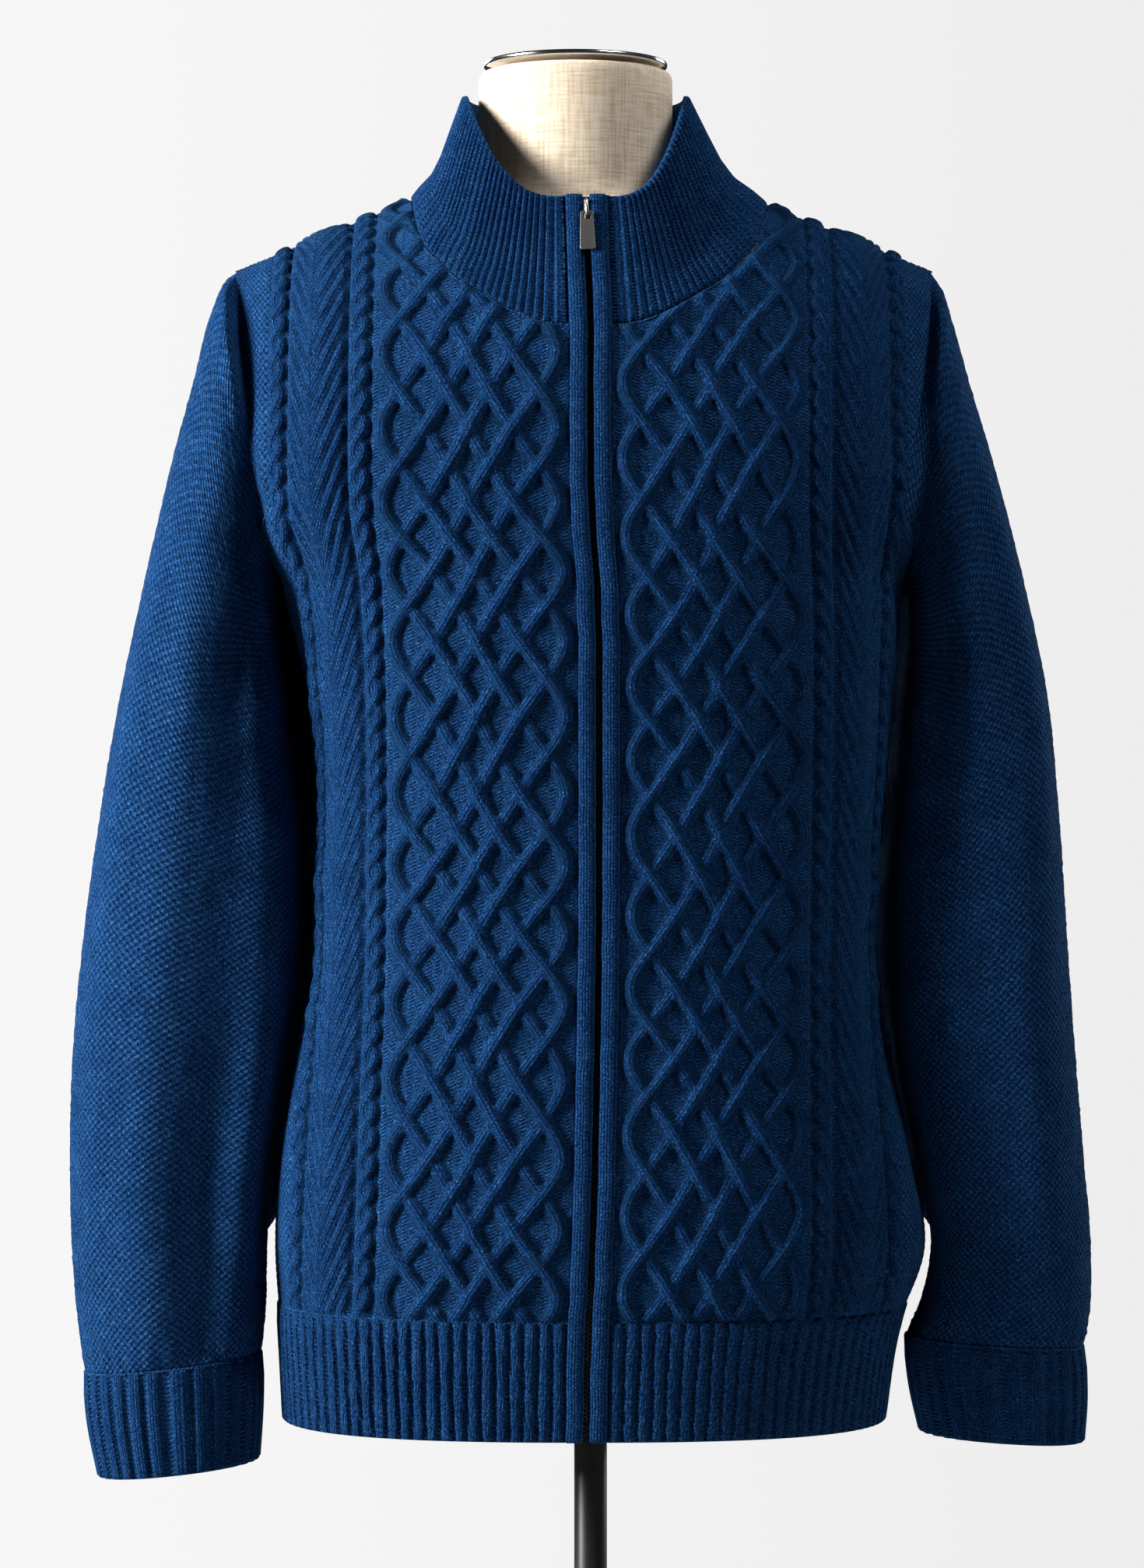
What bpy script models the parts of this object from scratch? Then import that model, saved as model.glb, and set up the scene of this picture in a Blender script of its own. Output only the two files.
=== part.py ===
# A zip cardigan in cable knit, zipped up on a limbless dress form that stands on a pole and a round base.
# Metres, +Z up, the front faces -Y, and the origin is under the middle of the base. Each cloth piece is a
# wall between its outer points, which carry the cables and ribs, and a plain inside.

import math

import bmesh
import bpy
import numpy as np
from mathutils import Matrix, Vector
from mathutils.geometry import delaunay_2d_cdt

SEAM = 0.0003
CUT_BACK = 0.00025  # each piece stops this far from a seam line
WALL = 0.003
HEM_Z = 0.743
RIB_TOP_Z = 0.812
YOKE_Z = 1.30
UNDERARM_Z = 1.245
ROUNDNESS = 0.8  # exponent of the body's superellipse sections

# Sections of the body: height, half widths to its right and left sides, where the zip runs, and depths.
BODY_COLUMNS = ("z", "right_side", "left_side", "zip", "front", "back")
BODY_SECTIONS = (
    (0.743, 0.178, 0.178, 0.001, 0.117, 0.113),
    (0.798, 0.181, 0.187, 0.002, 0.121, 0.118),
    (0.844, 0.184, 0.203, 0.004, 0.124, 0.122),
    (0.900, 0.181, 0.194, 0.006, 0.122, 0.120),
    (0.951, 0.173, 0.182, 0.007, 0.118, 0.114),
    (1.000, 0.164, 0.174, 0.008, 0.115, 0.108),
    (1.070, 0.160, 0.175, 0.0085, 0.113, 0.105),
    (1.130, 0.160, 0.181, 0.0085, 0.115, 0.110),
    (1.217, 0.174, 0.188, 0.008, 0.122, 0.120),
    (1.245, 0.182, 0.190, 0.007, 0.123, 0.121),
    (1.270, 0.200, 0.203, 0.0045, 0.123, 0.121),
    (1.300, 0.213, 0.214, 0.0035, 0.122, 0.120),
)
NECK_POINT_X = 0.107
NECK_POINT_Z = 1.468
SHOULDER_SLOPE = 0.405

# Flat widths out from the zip line, the same on both fronts.
BAND_NEAR = 0.0018
BAND_FAR = 0.0120
PANEL_EDGE = BAND_FAR + 0.0005
DIAMOND_W = 0.0255
DIAMOND_H = 0.0423
DIAMONDS = 4
LATTICE_EDGE = 0.0190
LATTICE_RISE = 0.0034
ROPE_MIDDLES = (0.1350, 0.1910)
ROPE_HALF = 0.0065
ROPE_RISE = 0.0040
ROPE_PITCH = 0.0148
WIDE_MIDDLE = 0.1630
WIDE_HALF = 0.0185
WIDE_RISE = 0.0046
WIDE_PITCH = 0.0168

COLLAR_RIBS = 88
COLLAR_RISE = 0.0016
HEM_RIB = 0.0078
HEM_RISE = 0.0022
CUFF_RIBS = 28
CUFF_RISE = 0.0022

POLE_X = 0.004
POLE_RADIUS = 0.0098
BASE_RADIUS = 0.165
BASE_THICK = 0.014
NECK_X = -0.005
NECK_RADIUS = 0.058
NECK_TOP_Z = 1.5455
CAP_RADIUS = 0.055
CAP_THICK = 0.0034
FORM_BOTTOM_Z = 0.80
FORM_SHOULDER = 0.180

# The zip's slider, and its pull tab, which hangs in the slider's bail.
SLIDER_SIZE = (0.0026, 0.0056, 0.0125)  # across, out, along
SLIDER_FACE = 0.0029
BAIL_WIRE = 0.0007
BAIL_SPAN = 0.0098
BAIL_TOP = 0.0064
TAB_THICK = 0.0014
TAB_OUT = 0.0045
TAB_LENGTH = 0.0240
TAB_TOP_WIDTH, TAB_FOOT_WIDTH = 0.0074, 0.0092
SLOT_WIDTH, SLOT_LENGTH, SLOT_BAR = 0.0040, 0.0040, 0.0014


def clear_scene():
    for leftover in list(bpy.data.objects):
        bpy.data.objects.remove(leftover, do_unlink=True)


def collection_named(name):
    made = bpy.data.collections.new(name)
    bpy.context.scene.collection.children.link(made)
    return made


def material_named(name, colour, roughness, metallic=0.0):
    made = bpy.data.materials.new(name)
    made.use_nodes = True
    shader = made.node_tree.nodes["Principled BSDF"]
    shader.inputs["Base Color"].default_value = (*colour, 1.0)
    shader.inputs["Roughness"].default_value = roughness
    shader.inputs["Metallic"].default_value = metallic
    return made


def object_from(name, points, faces, material):
    mesh = bpy.data.meshes.new(name)
    mesh.from_pydata([tuple(p) for p in points], [], faces)
    mesh.materials.append(material)
    mesh.update()
    made = bpy.data.objects.new(name, mesh)
    PART.objects.link(made)
    return made


def smooth_at(places, values, at):
    """A smooth curve through a short table, by cubic pieces with the slopes of their neighbours."""
    slopes = np.gradient(values, places)
    k = int(np.clip(np.searchsorted(places, at) - 1, 0, len(places) - 2))
    step = places[k + 1] - places[k]
    t = min(max((at - places[k]) / step, 0.0), 1.0)
    return (
        (2 * t**3 - 3 * t**2 + 1) * values[k]
        + (t**3 - 2 * t**2 + t) * step * slopes[k]
        + (3 * t**2 - 2 * t**3) * values[k + 1]
        + (t**3 - t**2) * step * slopes[k + 1]
    )


def column(table, columns, name):
    return np.array([row[columns.index(name)] for row in table])


BODY_Z = column(BODY_SECTIONS, BODY_COLUMNS, "z")
BODY = {name: column(BODY_SECTIONS, BODY_COLUMNS, name) for name in BODY_COLUMNS}
SECTION_CACHE = {}


def signed_power(value, power):
    return np.sign(value) * np.abs(value) ** power


def section(z):
    """The body's outline at a height: lengths round it from the zip, positive to +X, with x and y there."""
    key = round(z, 6)
    if key not in SECTION_CACHE:
        size = {name: smooth_at(BODY_Z, BODY[name], z) for name in BODY_COLUMNS[1:]}
        half = (size["right_side"] + size["left_side"]) / 2
        middle = (size["left_side"] - size["right_side"]) / 2
        turn = np.linspace(-math.pi, math.pi, 721)
        x = middle + half * signed_power(np.sin(turn), ROUNDNESS)
        depth = np.where(np.abs(turn) <= math.pi / 2, size["front"], size["back"])
        y = -depth * signed_power(np.cos(turn), ROUNDNESS)
        length = np.concatenate([[0.0], np.cumsum(np.hypot(np.diff(x), np.diff(y)))])
        front = slice(180, 541)
        length -= np.interp(size["zip"], x[front], length[front])
        SECTION_CACHE[key] = (length, x, y, length[180], length[540])
    return SECTION_CACHE[key]


def side_at(z, side):
    """The flat distance from the zip to a side seam."""
    found = section(min(z, YOKE_Z))
    return abs(found[4] if side > 0 else found[3])


def round_at(s, z):
    length, x, y, _, _ = section(z)
    whole = length[-1] - length[0]
    if s > length[-1]:
        s -= whole
    if s < length[0]:
        s += whole
    return float(np.interp(s, length, x)), float(np.interp(s, length, y))


def ridge_z(x):
    return NECK_POINT_Z - SHOULDER_SLOPE * (math.hypot(x, 0.02) - NECK_POINT_X)


def yoke_at(s):
    """Over the shoulder the cloth follows a quarter of an ellipse: its foot, its height and its length."""
    x, y = round_at(s, YOKE_Z)
    rise = ridge_z(x) - YOKE_Z
    turn = np.linspace(0, math.pi / 2, 25)
    run = np.hypot(np.diff(abs(y) * np.cos(turn)), np.diff(rise * np.sin(turn)))
    return x, y, rise, turn, np.concatenate([[0.0], np.cumsum(run)])


def cloth_at(s, v):
    """The cloth's surface s round from the zip line and v up it, where v is the height up to the yoke."""
    if v <= YOKE_Z:
        x, y = round_at(s, v)
        return np.array([x, y, v])
    x, y, rise, turn, run = yoke_at(s)
    angle = float(np.interp(v - YOKE_Z, run, turn))
    return np.array([x, y * math.cos(angle), YOKE_Z + rise * math.sin(angle)])


def behind_at(r, v):
    """The same cloth with r measured round from the middle of the back, positive to -X."""
    return cloth_at(section(min(v, YOKE_Z))[0][0] + r, v)


def outward_at(surface, s, v, reach=0.002):
    across = surface(s + reach, v) - surface(s - reach, v)
    up = surface(s, v + reach) - surface(s, v - reach)
    normal = np.cross(across, up)
    return normal / np.linalg.norm(normal)


def raised(surface, s, v, rise):
    return surface(s, v) + outward_at(surface, s, v) * rise


def shoulder_v(s):
    return YOKE_Z + yoke_at(s)[4][-1]


def s_where_x(x, z, side):
    """The flat distance, on one side of the zip, where the front of a section reaches x."""
    length, xs, _, _, _ = section(min(z, YOKE_Z))
    front = slice(180, 541)
    return float(np.interp(x, xs[front], length[front])) * side


def spaced(start, stop, step):
    return np.linspace(start, stop, max(2, round(abs(stop - start) / step) + 1))


def triangulate(outline, inside, creases):
    """Triangles over a flat outline, through the inside points and along the creases between them."""
    points = [Vector(p) for p in outline] + [Vector(p) for p in inside]
    edges = [(a + len(outline), b + len(outline)) for a, b in creases]
    loop = list(range(len(outline)))
    found = delaunay_2d_cdt(points, edges, [loop], 1, 1e-7)
    where = {}
    for new, olds in enumerate(found[3]):
        for old in olds:
            where[old] = new
    return [tuple(p) for p in found[0]], [tuple(f) for f in found[2]], [where[k] for k in loop]


def wall_from(name, outline, inside, creases, surface, rise_of, plain_step, material):
    """A cloth piece: raised outer points, a plain inside, and a rim between the two."""
    flat, faces, rim = triangulate(outline, inside, creases)
    rises = {tuple(np.round(p, 7)): r for p, r in zip(inside, rise_of)}
    points = [raised(surface, s, v, rises.get((round(s, 7), round(v, 7)), 0.0)) for s, v in flat]
    low, high = np.min(outline, axis=0), np.max(outline, axis=0)
    heights = list(spaced(low[1], YOKE_Z, plain_step)) + list(spaced(YOKE_Z, high[1], plain_step / 2)[1:])
    grid = [
        (s, v)
        for s in spaced(low[0], high[0], plain_step)
        for v in heights
        if within(outline, s, v, plain_step * 0.2)
    ]
    plain, plain_faces, plain_rim = triangulate(outline, grid, [])
    base = len(points)
    points += [raised(surface, s, v, -WALL) for s, v in plain]
    faces += [tuple(base + k for k in reversed(f)) for f in plain_faces]
    count = len(rim)
    area = sum(
        outline[k][0] * outline[(k + 1) % count][1] - outline[(k + 1) % count][0] * outline[k][1]
        for k in range(count)
    )
    for k in range(count):
        a, b = rim[k], rim[(k + 1) % count]
        c, d = base + plain_rim[k], base + plain_rim[(k + 1) % count]
        faces += [(b, a, c), (b, c, d)] if area > 0 else [(a, b, d), (a, d, c)]
    return object_from(name, points, faces, material)


def within(outline, s, v, margin):
    """Whether a flat point is inside an outline and at least a margin from it."""
    inside = False
    for k, (s1, v1) in enumerate(outline):
        s0, v0 = outline[k - 1]
        if (v0 > v) != (v1 > v) and s < s0 + (v - v0) * (s1 - s0) / (v1 - v0):
            inside = not inside
        along = np.array([s1 - s0, v1 - v0])
        size = float(along @ along)
        t = 0.0 if size == 0 else min(max(float(np.array([s - s0, v - v0]) @ along) / size, 0.0), 1.0)
        if math.hypot(s0 + t * along[0] - s, v0 + t * along[1] - v) < margin:
            return False
    return inside


# The front neckline: distance from the zip and height; the armhole: height share and how far it lies in x.
NECKLINE = ((0.0, 1.384), (0.030, 1.387), (0.060, 1.402), (0.086, 1.422), (0.102, 1.447), (0.107, 1.468))
BACK_NECK_DROP = 0.016
ARMHOLE = ((0.0, 0.181), (0.10, 0.1835), (0.25, 0.187), (0.45, 0.194), (0.70, 0.202), (1.0, 0.207))


def v_at_height(s, z):
    """How far up the cloth a height lies, over the yoke too."""
    if z <= YOKE_Z:
        return z
    _, _, rise, turn, run = yoke_at(s)
    angle = math.asin(min(max((z - YOKE_Z) / rise, 0.0), 1.0))
    return YOKE_Z + float(np.interp(angle, turn, run))


def front_neckline(side, count=12):
    """Flat points of the neckline from the zip band to the shoulder seam."""
    xs, zs = np.array(NECKLINE).T
    line = []
    for t in np.linspace(0, 1, count):
        place = PANEL_EDGE + (NECK_POINT_X - PANEL_EDGE) * math.sin(t * math.pi / 2) ** 0.85
        x = side * place + BODY["zip"][-1]
        z = smooth_at(xs, zs, place)
        s = s_where_x(x, YOKE_Z, 1)
        line.append((s, v_at_height(s, z) if t < 1 else shoulder_v(s) - CUT_BACK))
    return line


def armhole(side, back=False, count=16):
    """Flat points of an armhole from the shoulder seam down to the underarm."""
    shares, xs = np.array(ARMHOLE).T
    line = []
    for t in np.linspace(1, 0, count):
        share = 0.5 - 0.5 * math.cos(t * math.pi)
        x = side * smooth_at(shares, xs, share)
        z_share = UNDERARM_Z + (ridge_z(x) - UNDERARM_Z) * share
        if z_share < YOKE_Z:
            low = side_at(z_share, side)
            s = min(abs(s_where_x(x, z_share, 1)), low)
            s = low - (low - s) * min(1.0, 6.0 * share) - CUT_BACK
        else:
            s = abs(s_where_x(x, YOKE_Z, 1))
        s *= side
        v = v_at_height(s, z_share) if t < 1 else shoulder_v(s) - CUT_BACK
        line.append((s, max(v, UNDERARM_Z)))
    return line


def front_panel(side):
    """One front: the lattice beside the zip, rope, wide and rope cables, and the plain side."""
    s_in = side * PANEL_EDGE
    low = RIB_TOP_Z + SEAM
    neck = front_neckline(side)
    arm = armhole(side)
    shoulder = [
        (s, shoulder_v(s) - CUT_BACK) for s in spaced(neck[-1][0], arm[0][0], 0.014)[1:-1]
    ]
    seam = [
        (side * (side_at(z, side) - CUT_BACK), z) for z in spaced(UNDERARM_Z, low, 0.030)[1:]
    ]
    hem = [(s, low) for s in spaced(seam[-1][0], s_in, 0.016)[1:]]
    zip_edge = [(s_in, v) for v in spaced(low, neck[0][1], 0.026)[1:-1]]
    outline = neck + shoulder + arm + seam + hem + zip_edge
    inside, rises, creases, index = [], [], [], {}

    def add(key, s, v, rise, margin=0.0028):
        if within(outline, side * s, v, margin):
            index[key] = len(inside)
            inside.append((side * s, v))
            rises.append(rise)

    def crease(a, b):
        if a in index and b in index:
            creases.append((index[a], index[b]))

    columns = 4 * DIAMONDS
    rows = int((1.56 - low) / (DIAMOND_H / 4))
    for j in range(rows):
        v = low + (j + 0.5) * DIAMOND_H / 4
        for k in range(columns + 1):
            crest = (k + j) % 4 == 0 or (k - j) % 4 == 0
            add(("lattice", k, j), LATTICE_EDGE + k * DIAMOND_W / 4, v, LATTICE_RISE * crest)
    for j in range(rows):
        for k in range(columns):
            if (k - j) % 4 == 0:
                crease(("lattice", k, j), ("lattice", k + 1, j + 1))
            if (k + j + 1) % 4 == 0:
                crease(("lattice", k, j + 1), ("lattice", k + 1, j))
    for n, middle in enumerate(ROPE_MIDDLES):
        for j in range(int((1.56 - low) / (ROPE_PITCH / 2))):
            v = low + (j + 0.7) * ROPE_PITCH / 2
            for k, across in ((0, -0.42), (1, 0.42)):
                high = ROPE_RISE if (j + k) % 2 else ROPE_RISE * 0.45
                add(("rope", n, k, j), middle + across * ROPE_HALF, v, high)
            crease(("rope", n, (j + 1) % 2, j), ("rope", n, j % 2, j + 1))
        for j in range(int((1.56 - low) / ROPE_PITCH)):
            for across in (-1.0, 1.0)[n:]:
                add(("rope edge", n, across, j), middle + across * ROPE_HALF, low + (j + 0.6) * ROPE_PITCH, 0.0)
    for j in range(int((1.56 - low) / (WIDE_PITCH / 2))):
        v = low + (j + 0.7) * WIDE_PITCH / 2
        for k, across, late in ((0, -0.72, 0.6), (1, 0.0, 0.0), (2, 0.72, 0.6)):
            high = WIDE_RISE if j % 2 else WIDE_RISE * 0.4
            add(("wide", k, j), WIDE_MIDDLE + across * WIDE_HALF, v + late * WIDE_PITCH / 2, high)
        crease(("wide", 0, j), ("wide", 1, j))
        crease(("wide", 1, j), ("wide", 2, j))
    for s in (0.212, 0.232):
        for v in spaced(low, YOKE_Z, 0.03):
            add(("side", s, v), s, v, 0.0, 0.008)
    name = "front_left" if side > 0 else "front_right"
    return wall_from(name, outline, inside, creases, cloth_at, rises, 0.048, NAVY)


def back_armhole(sign, count=16):
    """Flat points of a back armhole from the shoulder seam down; sign is 1 on the -X side."""
    line = []
    for s, v in armhole(-sign, count=count):
        x = cloth_at(s, v)[0]
        z = cloth_at(s, v)[2]
        r = back_where_x(x, min(z, YOKE_Z))
        top = (s, v) == armhole_top(-sign)
        line.append((r, behind_shoulder_v(r) - CUT_BACK if top else behind_v(r, z)))
    return line


def armhole_top(side):
    return armhole(side)[0]


def back_where_x(x, z):
    """The flat distance from the middle of the back where a section reaches x."""
    length, xs, _, _, _ = section(z)
    near = np.concatenate([xs[541:], xs[1:180]])
    far = np.concatenate([length[541:] - length[-1], length[1:180] - length[0]])
    return float(np.interp(-x, -near, far))


def behind_shoulder_v(r):
    return shoulder_v(section(YOKE_Z)[0][0] + r)


def behind_v(r, z):
    return v_at_height(section(YOKE_Z)[0][0] + r, z)


def back_side(z, sign):
    """The flat distance from the middle of the back to a side seam."""
    length, _, _, right, left = section(z)
    return right - length[0] if sign > 0 else length[-1] - left


def back_panel():
    """The back in one plain piece, from side seam to side seam."""
    low = RIB_TOP_Z + SEAM
    right, left = back_armhole(1), back_armhole(-1)
    neck = []
    for t in np.linspace(-1, 1, 15):
        x = NECK_POINT_X * math.sin(t * math.pi / 2)
        r = back_where_x(x + BODY["zip"][-1], YOKE_Z)
        v = behind_shoulder_v(r) - CUT_BACK if abs(t) == 1 else behind_v(r, back_neck_z(x))
        neck.append((r, v))
    seams = []
    for sign in (1, -1):
        seams.append(
            [(sign * (back_side(z, sign) - CUT_BACK), z) for z in spaced(UNDERARM_Z, low, 0.030)[1:]]
        )
    tops = []
    for start, stop in ((neck[0], right[0]), (left[0], neck[-1])):
        tops.append([(r, behind_shoulder_v(r) - CUT_BACK) for r in spaced(start[0], stop[0], 0.016)[1:-1]])
    hem = [(r, low) for r in spaced(seams[0][-1][0], seams[1][-1][0], 0.020)[1:-1]]
    outline = neck + tops[1][::-1] + left + seams[1] + hem[::-1] + seams[0][::-1] + right[::-1] + tops[0][::-1]
    inside = [
        (r, v)
        for r in spaced(-0.26, 0.26, 0.034)
        for v in spaced(low, 1.54, 0.042)
        if within(outline, r, v, 0.012)
    ]
    return wall_from("back", outline, inside, [], behind_at, [0.0] * len(inside), 0.045, NAVY)


def back_neck_z(x):
    return NECK_POINT_Z - BACK_NECK_DROP * math.cos(x / NECK_POINT_X * math.pi / 2) ** 0.6


def stitched(upper, lower, closed):
    """Triangles between two lines of points that run alongside each other, as (place, index) lists."""
    faces, a, b = [], 0, 0
    if closed:
        upper = upper + [(upper[0][0] + 1.0, upper[0][1])]
        lower = lower + [(lower[0][0] + 1.0, lower[0][1])]
    while a < len(upper) - 1 or b < len(lower) - 1:
        step_up = b == len(lower) - 1 or (
            a < len(upper) - 1 and upper[a + 1][0] <= lower[b + 1][0]
        )
        if step_up:
            faces.append((upper[a][1], lower[b][1], upper[a + 1][1]))
            a += 1
        else:
            faces.append((upper[a][1], lower[b][1], lower[b + 1][1]))
            b += 1
    return faces


def shell_between(name, outer, inner, closed, material):
    """A wall from rows of outer points and rows of fewer inner points, each row (place, point) pairs."""
    points, rows = [], []
    for row in outer + inner:
        rows.append([(place, len(points) + k) for k, (place, _) in enumerate(row)])
        points += [point for _, point in row]
    outs, ins = rows[: len(outer)], rows[len(outer) :]
    faces = []
    for up, down in zip(outs[:-1], outs[1:]):
        faces += stitched(up, down, closed)
    for up, down in zip(ins[:-1], ins[1:]):
        faces += [f[::-1] for f in stitched(up, down, closed)]
    faces += [f[::-1] for f in stitched(outs[0], ins[0], closed)]
    faces += stitched(outs[-1], ins[-1], closed)
    if not closed:
        for end, flip in ((0, False), (-1, True)):
            ring = [row[end][1] for row in outs] + [row[end][1] for row in ins[::-1]]
            half = len(outs)
            left, right = ring[:half], ring[half:][::-1]
            strip = stitched(
                [(k / (len(left) - 1), i) for k, i in enumerate(left)],
                [(k / (len(right) - 1), i) for k, i in enumerate(right)],
                False,
            )
            faces += [f[::-1] for f in strip] if flip else strip
    made = object_from(name, points, faces, material)
    face_out(made)
    return made


def face_out(made):
    """Turns a closed mesh's faces outwards."""
    shape = bmesh.new()
    shape.from_mesh(made.data)
    bmesh.ops.recalc_face_normals(shape, faces=shape.faces)
    if shape.calc_volume(signed=True) < 0:
        bmesh.ops.reverse_faces(shape, faces=shape.faces)
    shape.to_mesh(made.data)
    shape.free()


def hem_band(name, surface, start_of, stop_of):
    """A ribbed hem band: from its bottom at HEM_Z to the body above it."""
    low, high = HEM_Z, RIB_TOP_Z
    count = max(2, round(abs(stop_of(low) - start_of(low)) / HEM_RIB))

    def at(t, z, rise):
        s = start_of(z) + (stop_of(z) - start_of(z)) * t
        return raised(surface, s, z, rise)

    outer = []
    for z in (high, low):
        full = 0.6 if z == high else 1.0
        row = []
        for k in range(2 * count + 1):
            t = k / (2 * count)
            row.append((t, at(t, z, HEM_RISE * full * (k % 2))))
        outer.append(row)
    inner = [[(t, at(t, z, -WALL)) for t in np.linspace(0, 1, count // 2 + 1)] for z in (high, low)]
    return shell_between(name, outer, inner, False, NAVY)


# Sleeve rings from the armhole down: the outer and inner points seen from the front, and the depth.
SLEEVE_COLUMNS = ("x_out", "z_out", "x_in", "z_in", "y", "deep")
SLEEVE_RIGHT = (
    (0.2150, 1.4190, 0.1840, 1.2425, 0.000, 0.066),
    (0.2235, 1.3980, 0.1845, 1.2330, 0.000, 0.068),
    (0.2320, 1.3640, 0.1835, 1.2180, -0.001, 0.068),
    (0.2430, 1.3240, 0.1810, 1.1980, -0.002, 0.066),
    (0.2535, 1.2810, 0.1785, 1.1760, -0.003, 0.063),
    (0.2650, 1.2300, 0.1755, 1.1480, -0.004, 0.060),
    (0.2780, 1.1680, 0.1700, 1.1060, -0.005, 0.057),
    (0.2885, 1.1050, 0.1665, 1.0620, -0.006, 0.055),
    (0.2985, 1.0300, 0.1690, 1.0080, -0.006, 0.054),
    (0.3050, 0.9600, 0.1770, 0.9540, -0.006, 0.053),
    (0.3068, 0.8900, 0.1868, 0.8880, -0.006, 0.052),
    (0.3050, 0.8360, 0.1892, 0.8380, -0.006, 0.050),
    (0.3012, 0.7960, 0.1905, 0.8040, -0.006, 0.047),
    (0.2975, 0.7705, 0.1930, 0.7815, -0.006, 0.044),
)
CUFF_RIGHT = (
    (0.2972, 0.7700, 0.1932, 0.7810, -0.006, 0.044),
    (0.2945, 0.7400, 0.1935, 0.7500, -0.006, 0.042),
    (0.2880, 0.7080, 0.1955, 0.7180, -0.006, 0.040),
)
SLEEVE_LEFT = (
    (0.2140, 1.4140, 0.1935, 1.2425, 0.000, 0.066),
    (0.2205, 1.3930, 0.1950, 1.2340, 0.000, 0.068),
    (0.2295, 1.3600, 0.1960, 1.2200, -0.001, 0.068),
    (0.2400, 1.3260, 0.1960, 1.2020, -0.002, 0.066),
    (0.2515, 1.2850, 0.1950, 1.1820, -0.003, 0.063),
    (0.2635, 1.2370, 0.1930, 1.1560, -0.004, 0.060),
    (0.2765, 1.1740, 0.1890, 1.1160, -0.005, 0.057),
    (0.2832, 1.1050, 0.1850, 1.0660, -0.006, 0.055),
    (0.2878, 1.0320, 0.1835, 1.0100, -0.006, 0.054),
    (0.2928, 0.9620, 0.1870, 0.9560, -0.006, 0.053),
    (0.2982, 0.8960, 0.1995, 0.8930, -0.006, 0.052),
    (0.3022, 0.8440, 0.2075, 0.8440, -0.006, 0.050),
    (0.3015, 0.8060, 0.2010, 0.8110, -0.006, 0.047),
    (0.2978, 0.7860, 0.1930, 0.7920, -0.006, 0.044),
)
CUFF_LEFT = (
    (0.2975, 0.7855, 0.1925, 0.7915, -0.006, 0.044),
    (0.2985, 0.7560, 0.1960, 0.7620, -0.006, 0.042),
    (0.2968, 0.7290, 0.2020, 0.7350, -0.006, 0.040),
)
SLEEVE_SIDES = 24
RING_ROUNDNESS = 0.9


def ring_point(row, side, turn, swell=0.0):
    """A point of a sleeve ring; turn 0 is its outer or top side, a quarter turn its front."""
    x_out, z_out, x_in, z_in, y, deep = row
    out = np.array([(x_out - x_in) / 2, (z_out - z_in) / 2])
    middle = np.array([(x_out + x_in) / 2, (z_out + z_in) / 2])
    size = 1 + swell / float(np.hypot(*out))
    along = signed_power(math.cos(turn), RING_ROUNDNESS) * size
    forward = signed_power(math.sin(turn), RING_ROUNDNESS) * (deep + swell)
    x, z = middle + out * along
    return np.array([side * x, y - forward, z])


def armhole_ring(side, sides, rise):
    """The first ring of a sleeve, in the body's surface just past the armhole's edge."""
    gap = SEAM * 1.2
    ring = []
    for k in range(sides):
        t = k / sides * 2
        front = t <= 1
        share = (t if front else 2 - t) * 15
        line = armhole(side) if front else back_armhole(-side)
        surface = cloth_at if front else behind_at
        n = min(int(share), 14)
        (s0, v0), (s1, v1) = line[n], line[n + 1]
        s, v = s0 + (s1 - s0) * (share - n), v0 + (v1 - v0) * (share - n)
        out = math.copysign(1.0, s)
        along = np.array([(s1 - s0) * out, v1 - v0])
        along /= np.linalg.norm(along)
        s, v = s - along[1] * gap * out, v + max(along[0], 0.0) * gap
        if share == 0:
            v += SEAM
        if share == 15:
            v = UNDERARM_Z + gap
        ring.append((t / 2, raised(surface, s, v, rise)))
    return ring


# Long soft folds down a sleeve: where round it, how wide, how high, and between which rings.
SLEEVE_FOLDS = (
    (0.14, 0.055, 0.0035, 0.0, 0.75),
    (0.27, 0.060, -0.0030, 0.1, 0.95),
    (0.38, 0.050, 0.0030, 0.45, 1.0),
    (0.62, 0.060, -0.0025, 0.1, 0.7),
    (0.80, 0.060, 0.0025, 0.2, 0.9),
)


def fold_rise(turn, share):
    rise = 0.0
    for middle, wide, high, start, stop in SLEEVE_FOLDS:
        down = (share - start) / (stop - start)
        if 0 < down < 1:
            rise += high * math.exp(-(((turn - middle) / wide) ** 2)) * math.sin(down * math.pi)
    return rise


def sleeve(name, side, rows):
    outer = [armhole_ring(side, SLEEVE_SIDES, 0.0)]
    inner = [armhole_ring(side, SLEEVE_SIDES // 2, -WALL)]
    for n, row in enumerate(rows):
        share = n / (len(rows) - 1)
        ring, lining = [], []
        for k in range(SLEEVE_SIDES):
            turn = k / SLEEVE_SIDES
            swell = fold_rise(turn, share)
            ring.append((turn, ring_point(row, side, turn * 2 * math.pi, swell)))
            if k % 2 == 0:
                lining.append((turn, ring_point(row, side, turn * 2 * math.pi, swell - WALL)))
        outer.append(ring)
        inner.append(lining)
    return shell_between(name, outer, inner, True, NAVY)


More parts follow.
